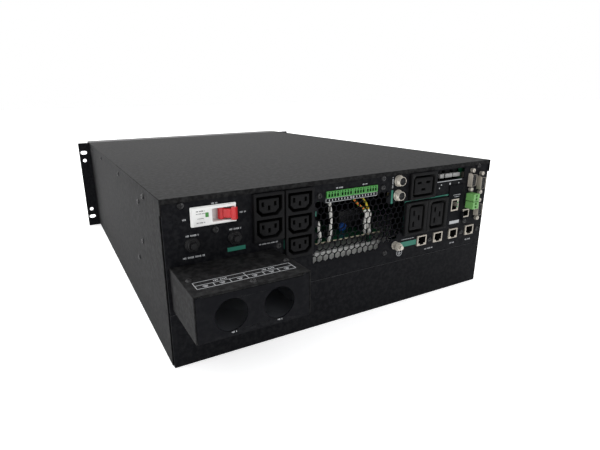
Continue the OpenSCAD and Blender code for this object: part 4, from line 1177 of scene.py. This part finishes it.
class SUPPLY_OT_batteries(PieceOperator, bpy.types.Operator):
    """Battery drawers and the sealed blocks in them."""

    bl_idname = "supply.batteries"
    bl_label = "Battery drawers"

    def execute(self, context):
        for side in ("left", "right"):
            node = "battery_drawer_" + side
            low, high = corners(node)
            x, z = (low + high)[[0, 2]] / 2
            face = low[1] + 19.9 * MM
            zones = [("bezel", in_box([low[0], low[1] - MM, low[2]], [high[0], face, high[2]]))]
            for turn in (-92, 92):
                spot = [x + turn * MM, 0, z + 20 * MM]
                zones.append(("nickel", near_line(spot, 1, 6 * MM, low[1], face)))
            dressed(node, "drawer", 0.3 * MM, zones=zones)
            dressed("battery_blocks_" + side, "battery", 1.2 * MM)
            self.wiring(side, x, BODY_OF[node])
        return {"FINISHED"}

    @staticmethod
    def wiring(side, x, body):
        """Insulated boots on the tabs between the two rows of blocks, and a lead of each colour to the rear
        plug."""
        low, high = corners("battery_blocks_" + side)
        pitch = (high[1] - low[1]) / 3
        level = low[2] + 40 * MM
        boot = block(round_outline(2.8 * MM, 11 * MM, 0.8 * MM), -3 * MM, 3 * MM, 0.6 * MM)
        for name, way in (("red", -1), ("black", 1)):
            places = [(x + way * 1.9 * MM, low[1] + pitch * (k + 0.5) + y * MM, level)
                      for k in range(3) for y in (-60, 60)]
            route = [(x + way * 1.9 * MM, low[1] + 8 * MM, level + 4.6 * MM),
                     (x + way * 1.7 * MM, low[1] + pitch, level + 5 * MM),
                     (x + way * 2.0 * MM, low[1] + 2 * pitch, level + 4.4 * MM),
                     (x + way * 1.9 * MM, high[1] - 2 * MM, level + 4.6 * MM)]
            lead = tube(smooth_path(route, 12), 1.3 * MM, 14, (1.0, 0.2, 0.1))
            new_piece("battery_leads_%s_%s" % (name, side),
                      joined([lead] + [moved(boot, spot) for spot in places]),
                      "red" if name == "red" else "relay", "inner_wires", body)


class SUPPLY_OT_print(PieceOperator, bpy.types.Operator):
    """Printed marks on the rear panel and the terminal box: plain bars in place of wording, rings and
    frames."""

    bl_idname = "supply.print"
    bl_label = "Printed marks"

    def execute(self, context):
        thick = settings()[0].thickness
        white, teal = [], []
        # x and z of the middle, then width and height, in millimetres on the rear panel
        wordings = [
            (168.3, 162.3, 6.4, 1.7), (197.7, 150.1, 5.0, 1.7), (139.7, 150.1, 7.0, 1.7),
            (191.7, 134.2, 12.8, 1.8), (148.3, 134.2, 12.8, 1.8), (191.4, 113.0, 21.7, 1.9),
            (112.2, 112.9, 21.7, 1.4), (24.7, 161.1, 9.4, 1.6), (-10.2, 161.3, 7.0, 1.6),
            (-82.5, 84.4, 21.0, 1.0), (-120.3, 65.2, 15.0, 1.8), (-163.4, 65.2, 9.0, 1.8),
            (-194.2, 65.2, 10.5, 1.8),
        ]
        for x, z, width, height in wordings:
            white.append(at_rear(dashes(width, height, thick), x * MM, z * MM))
        # the same on the plate of the network card, which stands a little proud
        plate = 1.4 * MM
        for x, z, width, height in ((-161.7, 131.4, 13.0, 1.1), (-161.7, 128.9, 9.0, 1.1)):
            white.append(at_rear(dashes(width, height, thick), x * MM, z * MM, plate))
        white.append(at_rear(bar(-9 * MM, -2.1 * MM, 9 * MM, 2.1 * MM, -SINK, thick), -162 * MM,
                             94.6 * MM, plate))
        white.append(at_rear(moved(dashes(13.3, 1.9, thick), turn=turned("Z", math.pi / 2)), -51.7 * MM,
                             158.3 * MM))
        white.append(rear_bar(-169.4, 150.6, -125.0, 151.4, thick))
        for x, z, size in [(-132.8, 146.9, 1.6), (-129.8, 143, 1.6), (-148.3, 146.9, 2.4),
                           (-164.4, 146.7, 1.6), (-164.4, 143, 1.8)]:
            dot = block(circle_outline(size * MM / 2 * 1.1, 16), -SINK, thick)
            white.append(at_rear(dot, x * MM, z * MM))
        for bars in ((138, 111.7, 157.2, 115.8), (-53.1, 133.3, -50.3, 149.4), (-97.2, 74.8, -71, 81.3)):
            teal.append(rear_bar(*bars, thick))
        # outlines round the outlet banks, as runs of thin bars
        for bars in ((93.2, 103.5, 94.2, 113.5), (54.2, 133, 55.2, 138.5), (-147.8, 131.9, -112.8, 133.5),
                     (-113, 132.4, -73.3, 133.3), (-74.0, 91.5, -72.9, 133.3)):
            teal.append(rear_bar(*bars, thick))
        white += self.earth_sign(-69.8, 68.4, thick)
        white += self.header_scale(thick)
        white += self.lid_label(thick)
        box_out = corners("terminal_box")[1][1] - REAR_Y
        for x in (137.8, 181.8):
            white.append(at_rear(dashes(5.0, 1.5, thick), x * MM, 67.0 * MM, box_out))
        new_piece("white_print", joined(white), "mark")
        new_piece("teal_print", joined(teal), "teal")
        return {"FINISHED"}

    @staticmethod
    def earth_sign(x, z, thick):
        """A ring round a stem with three bars that get shorter."""
        ring = lathe(np.array([[4.5, -0.02], [4.5, 0], [3.9, 0], [3.9, -0.02]]) * MM, 40, loop=True)
        ring = (ring[0] + [0, 0, 1] * np.where(ring[0][:, 2:] > -0.01 * MM, thick, 0), ring[1])
        parts = [ring]
        for low, width in ((-0.2, 5.2), (-1.4, 3.6), (-2.6, 1.8)):
            parts.append(bar(-width / 2 * MM, (low - 0.3) * MM, width / 2 * MM, (low + 0.3) * MM, -SINK,
                             thick))
        parts.append(bar(-0.3 * MM, 0.1 * MM, 0.3 * MM, 3.0 * MM, -SINK, thick))
        return [at_rear(part, x * MM, z * MM) for part in parts]

    @staticmethod
    def header_scale(thick):
        """A frame under the signal headers with a tick for each way."""
        low, high = corners("signal_headers")
        left, right = low[0] / MM - 0.6, high[0] / MM + 0.6
        middle = (left + right) / 2
        parts = []
        for x0, x1 in ((left, middle - 0.7), (middle + 0.7, right)):
            for z0, z1 in ((150.3, 150.8), (146.1, 146.6)):
                parts.append(rear_bar(x0, z0, x1, z1, thick))
            for x in (x0 + 0.25, x1 - 0.25):
                parts.append(rear_bar(x - 0.25, 146.1, x + 0.25, 150.8, thick))
        ways = 16
        for k in range(ways):
            x = left + 2.6 + (k + 0.5) * (right - left - 5.2) / ways
            parts.append(rear_bar(x - 0.55, 147.4, x + 0.55, 149.6, thick))
        return parts

    @staticmethod
    def lid_label(thick):
        """Table of the terminals printed on the lid: a frame, a long line, short dividers and generic
        signs."""
        low, high = corners("terminal_box_cover")
        x_mid = (low[0] + high[0]) / 2 / MM
        top = high[2]

        def flat(x0, out0, x1, out1):
            part = bar(x0 * MM, out0 * MM, x1 * MM, out1 * MM, -SINK, thick)
            return moved(part, (0, REAR_Y, top))

        half, line = 47.3, 0.6
        parts = [flat(x_mid - half, out, x_mid + half, out + line) for out in (42.8, 49.6, 56.6)]
        for x in (-half, -0.3, half - line):
            parts.append(flat(x_mid + x, 42.8, x_mid + x + line, 57.2))
        for x in (-31.2, -16.2, 15.6, 30.6):
            parts.append(flat(x_mid + x, 49.6, x_mid + x + line, 57.2))
        for x in (-39.3, -23.7, -7.2, 7.2, 23.4, 38.6):
            parts.append(flat(x_mid + x - 2.4, 52.2, x_mid + x + 2.4, 53.2))
            parts.append(flat(x_mid + x - 1.4, 54.2, x_mid + x + 1.4, 55.2))
        for x in (-23.5, 23.2):
            word = moved(dashes(13.0, 2.4, thick), turn=np.diag([-1.0, -1.0, 1.0]))
            parts.append(moved(word, ((x_mid + x) * MM, REAR_Y + 46.4 * MM, top)))
        return parts


def rear_bar(x0, z0, x1, z1, thick):
    """A printed bar on the rear panel between two corners in millimetres."""
    mark = bar(-x1 * MM, z0 * MM, -x0 * MM, z1 * MM, -SINK, thick)
    return at_rear(mark, 0.0, 0.0)


def dashes(width, height, thick):
    """A row of short upright bars of uneven width, as wide in all as a wording, with no letter in it. The
    widths follow the fractional parts of a golden-section sequence."""
    step = height * 0.62
    count = max(3, int(width / step))
    ratio = (math.sqrt(5) - 1) / 2
    share = (np.arange(count) * ratio) % 1.0
    rows = []
    for k in np.flatnonzero((np.arange(count) + 3) % 6):
        x = (k + 0.5) * width / count - width / 2
        half = width / count * (0.24 + 0.16 * share[k])
        tall = height * (0.38 + 0.12 * ((share[k] * 3) % 1.0))
        rows.append(bar((x - half) * MM, -tall * MM, (x + half) * MM, tall * MM, -SINK, thick))
    return joined(rows)


class SUPPLY_OT_stage(PieceOperator, bpy.types.Operator):
    """Pale floor, soft lights and the camera."""

    bl_idname = "supply.stage"
    bl_label = "Stage"

    def execute(self, context):
        stage = settings()[1]
        scene = context.scene
        low, high = (Vector(corner) for corner in CAD_BOX)
        middle = (low + high) / 2
        size = 12.0
        grid = np.array([[-size, -size, 0], [size, -size, 0], [size, size, 0], [-size, size, 0]])
        mesh = bpy.data.meshes.new("Floor")
        mesh.from_pydata((grid + [middle.x, middle.y, low.z - 0.0002]).tolist(), [], [[0, 1, 2, 3]])
        material, tree = new_material("Plain floor", Specular_IOR_Level=0.1, Emission_Color=(1, 1, 1, 1))
        tint = placed(tree, "tone", Color=rgba(stage.floor), Roughness=0.9, Amount=0.01, Scale=0.8)
        tree.link(tint.outputs["Color"], tree.shader.inputs["Base Color"])
        seen = tree.add("ShaderNodeLightPath")
        tree.link(tree.math("MULTIPLY", seen.outputs["Is Camera Ray"], stage.floor_lift),
                  tree.shader.inputs["Emission Strength"])
        mesh.materials.append(material)
        floor = bpy.data.objects.new("Floor", mesh)
        context.collection.objects.link(floor)

        self.soft_light("Top light", (0.2, -1.6, 2.6), middle, (3.4, 1.6), 50)
        self.soft_light("Side light", (2.8, 0.4, 1.1), middle, (1.6, 2.0), 29)
        self.soft_light("Rear fill", (-0.8, 2.8, 1.2), middle, (1.8, 1.2), 8)

        world = bpy.data.worlds.new("Studio")
        scene.world = world
        world.use_nodes = True
        air = Tree(world.node_tree)
        background = world.node_tree.nodes["Background"]
        seen = air.add("ShaderNodeLightPath")
        where = air.add("ShaderNodeTexCoord")
        split = air.add("ShaderNodeSeparateXYZ")
        air.link(where.outputs["Generated"], split.inputs["Vector"])
        behind = air.ramp(split.outputs["Y"], stage.mirror_turn[0], stage.mirror_turn[1], stage.mirror[0],
                          stage.mirror[1])
        shine = air.add("ShaderNodeCombineColor")
        for label in ("Red", "Green", "Blue"):
            air.link(behind, shine.inputs[label])
        soft = air.mix(seen.outputs["Is Glossy Ray"], rgba(stage.sky), shine.outputs["Color"])
        air.link(air.mix(seen.outputs["Is Camera Ray"], soft, rgba((1.0, 1.0, 1.0))),
                 background.inputs["Color"])
        background.inputs["Strength"].default_value = 1.0

        data = bpy.data.cameras.new("Camera")
        data.lens = stage.focal
        data.sensor_width = 36.0
        data.shift_x, data.shift_y = stage.shift
        data.clip_start = 0.01
        camera = bpy.data.objects.new("Camera", data)
        context.collection.objects.link(camera)
        heading, pitch, roll = stage.camera_turn
        turn = Matrix.Rotation(heading, 4, "Z") @ Matrix.Rotation(pitch, 4, "X")
        turn = turn @ Matrix.Rotation(roll, 4, "Z")
        camera.matrix_world = Matrix.Translation(stage.camera_place) @ turn
        scene.camera = camera
        scene.view_settings.view_transform = "Standard"
        return {"FINISHED"}

    @staticmethod
    def soft_light(name, place, target, size, power):
        data = bpy.data.lights.new(name, "AREA")
        data.shape = "RECTANGLE"
        data.size, data.size_y = size
        data.energy = power
        light = bpy.data.objects.new(name, data)
        bpy.context.collection.objects.link(light)
        light.location = place
        light.rotation_euler = (target - Vector(place)).to_track_quat("-Z", "Y").to_euler()


class SUPPLY_PT_panel(bpy.types.Panel):
    """The steps of the power supply, in the order that they run."""

    bl_idname = "SUPPLY_PT_panel"
    bl_label = "Power supply"
    bl_space_type = "VIEW_3D"
    bl_region_type = "UI"
    bl_category = "Power supply"

    def draw(self, context):
        layout = self.layout
        for group in settings():
            for label in group.__annotations__:
                layout.prop(group, label)
        for step in STEPS:
            layout.operator(step.bl_idname)


STEPS = (
    SUPPLY_OT_stage,
    SUPPLY_OT_sheets,
    SUPPLY_OT_fasteners,
    SUPPLY_OT_front,
    SUPPLY_OT_breakers,
    SUPPLY_OT_outlets,
    SUPPLY_OT_connectors,
    SUPPLY_OT_terminal_box,
    SUPPLY_OT_electronics,
    SUPPLY_OT_fans,
    SUPPLY_OT_batteries,
    SUPPLY_OT_print,
)
CLASSES = (PrintSettings, StageSettings, *STEPS, SUPPLY_PT_panel)


def register():
    for item in CLASSES:
        bpy.utils.register_class(item)
    bpy.types.Scene.supply_print = bpy.props.PointerProperty(type=PrintSettings)
    bpy.types.Scene.supply_stage = bpy.props.PointerProperty(type=StageSettings)


def unregister():
    del bpy.types.Scene.supply_stage
    del bpy.types.Scene.supply_print
    for item in reversed(CLASSES):
        bpy.utils.unregister_class(item)


def main():
    """Registers the add-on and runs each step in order."""
    register()
    make_materials()
    for step in STEPS:
        group, name = step.bl_idname.split(".")
        getattr(getattr(bpy.ops, group), name)()


if __name__ == "__main__":
    main()
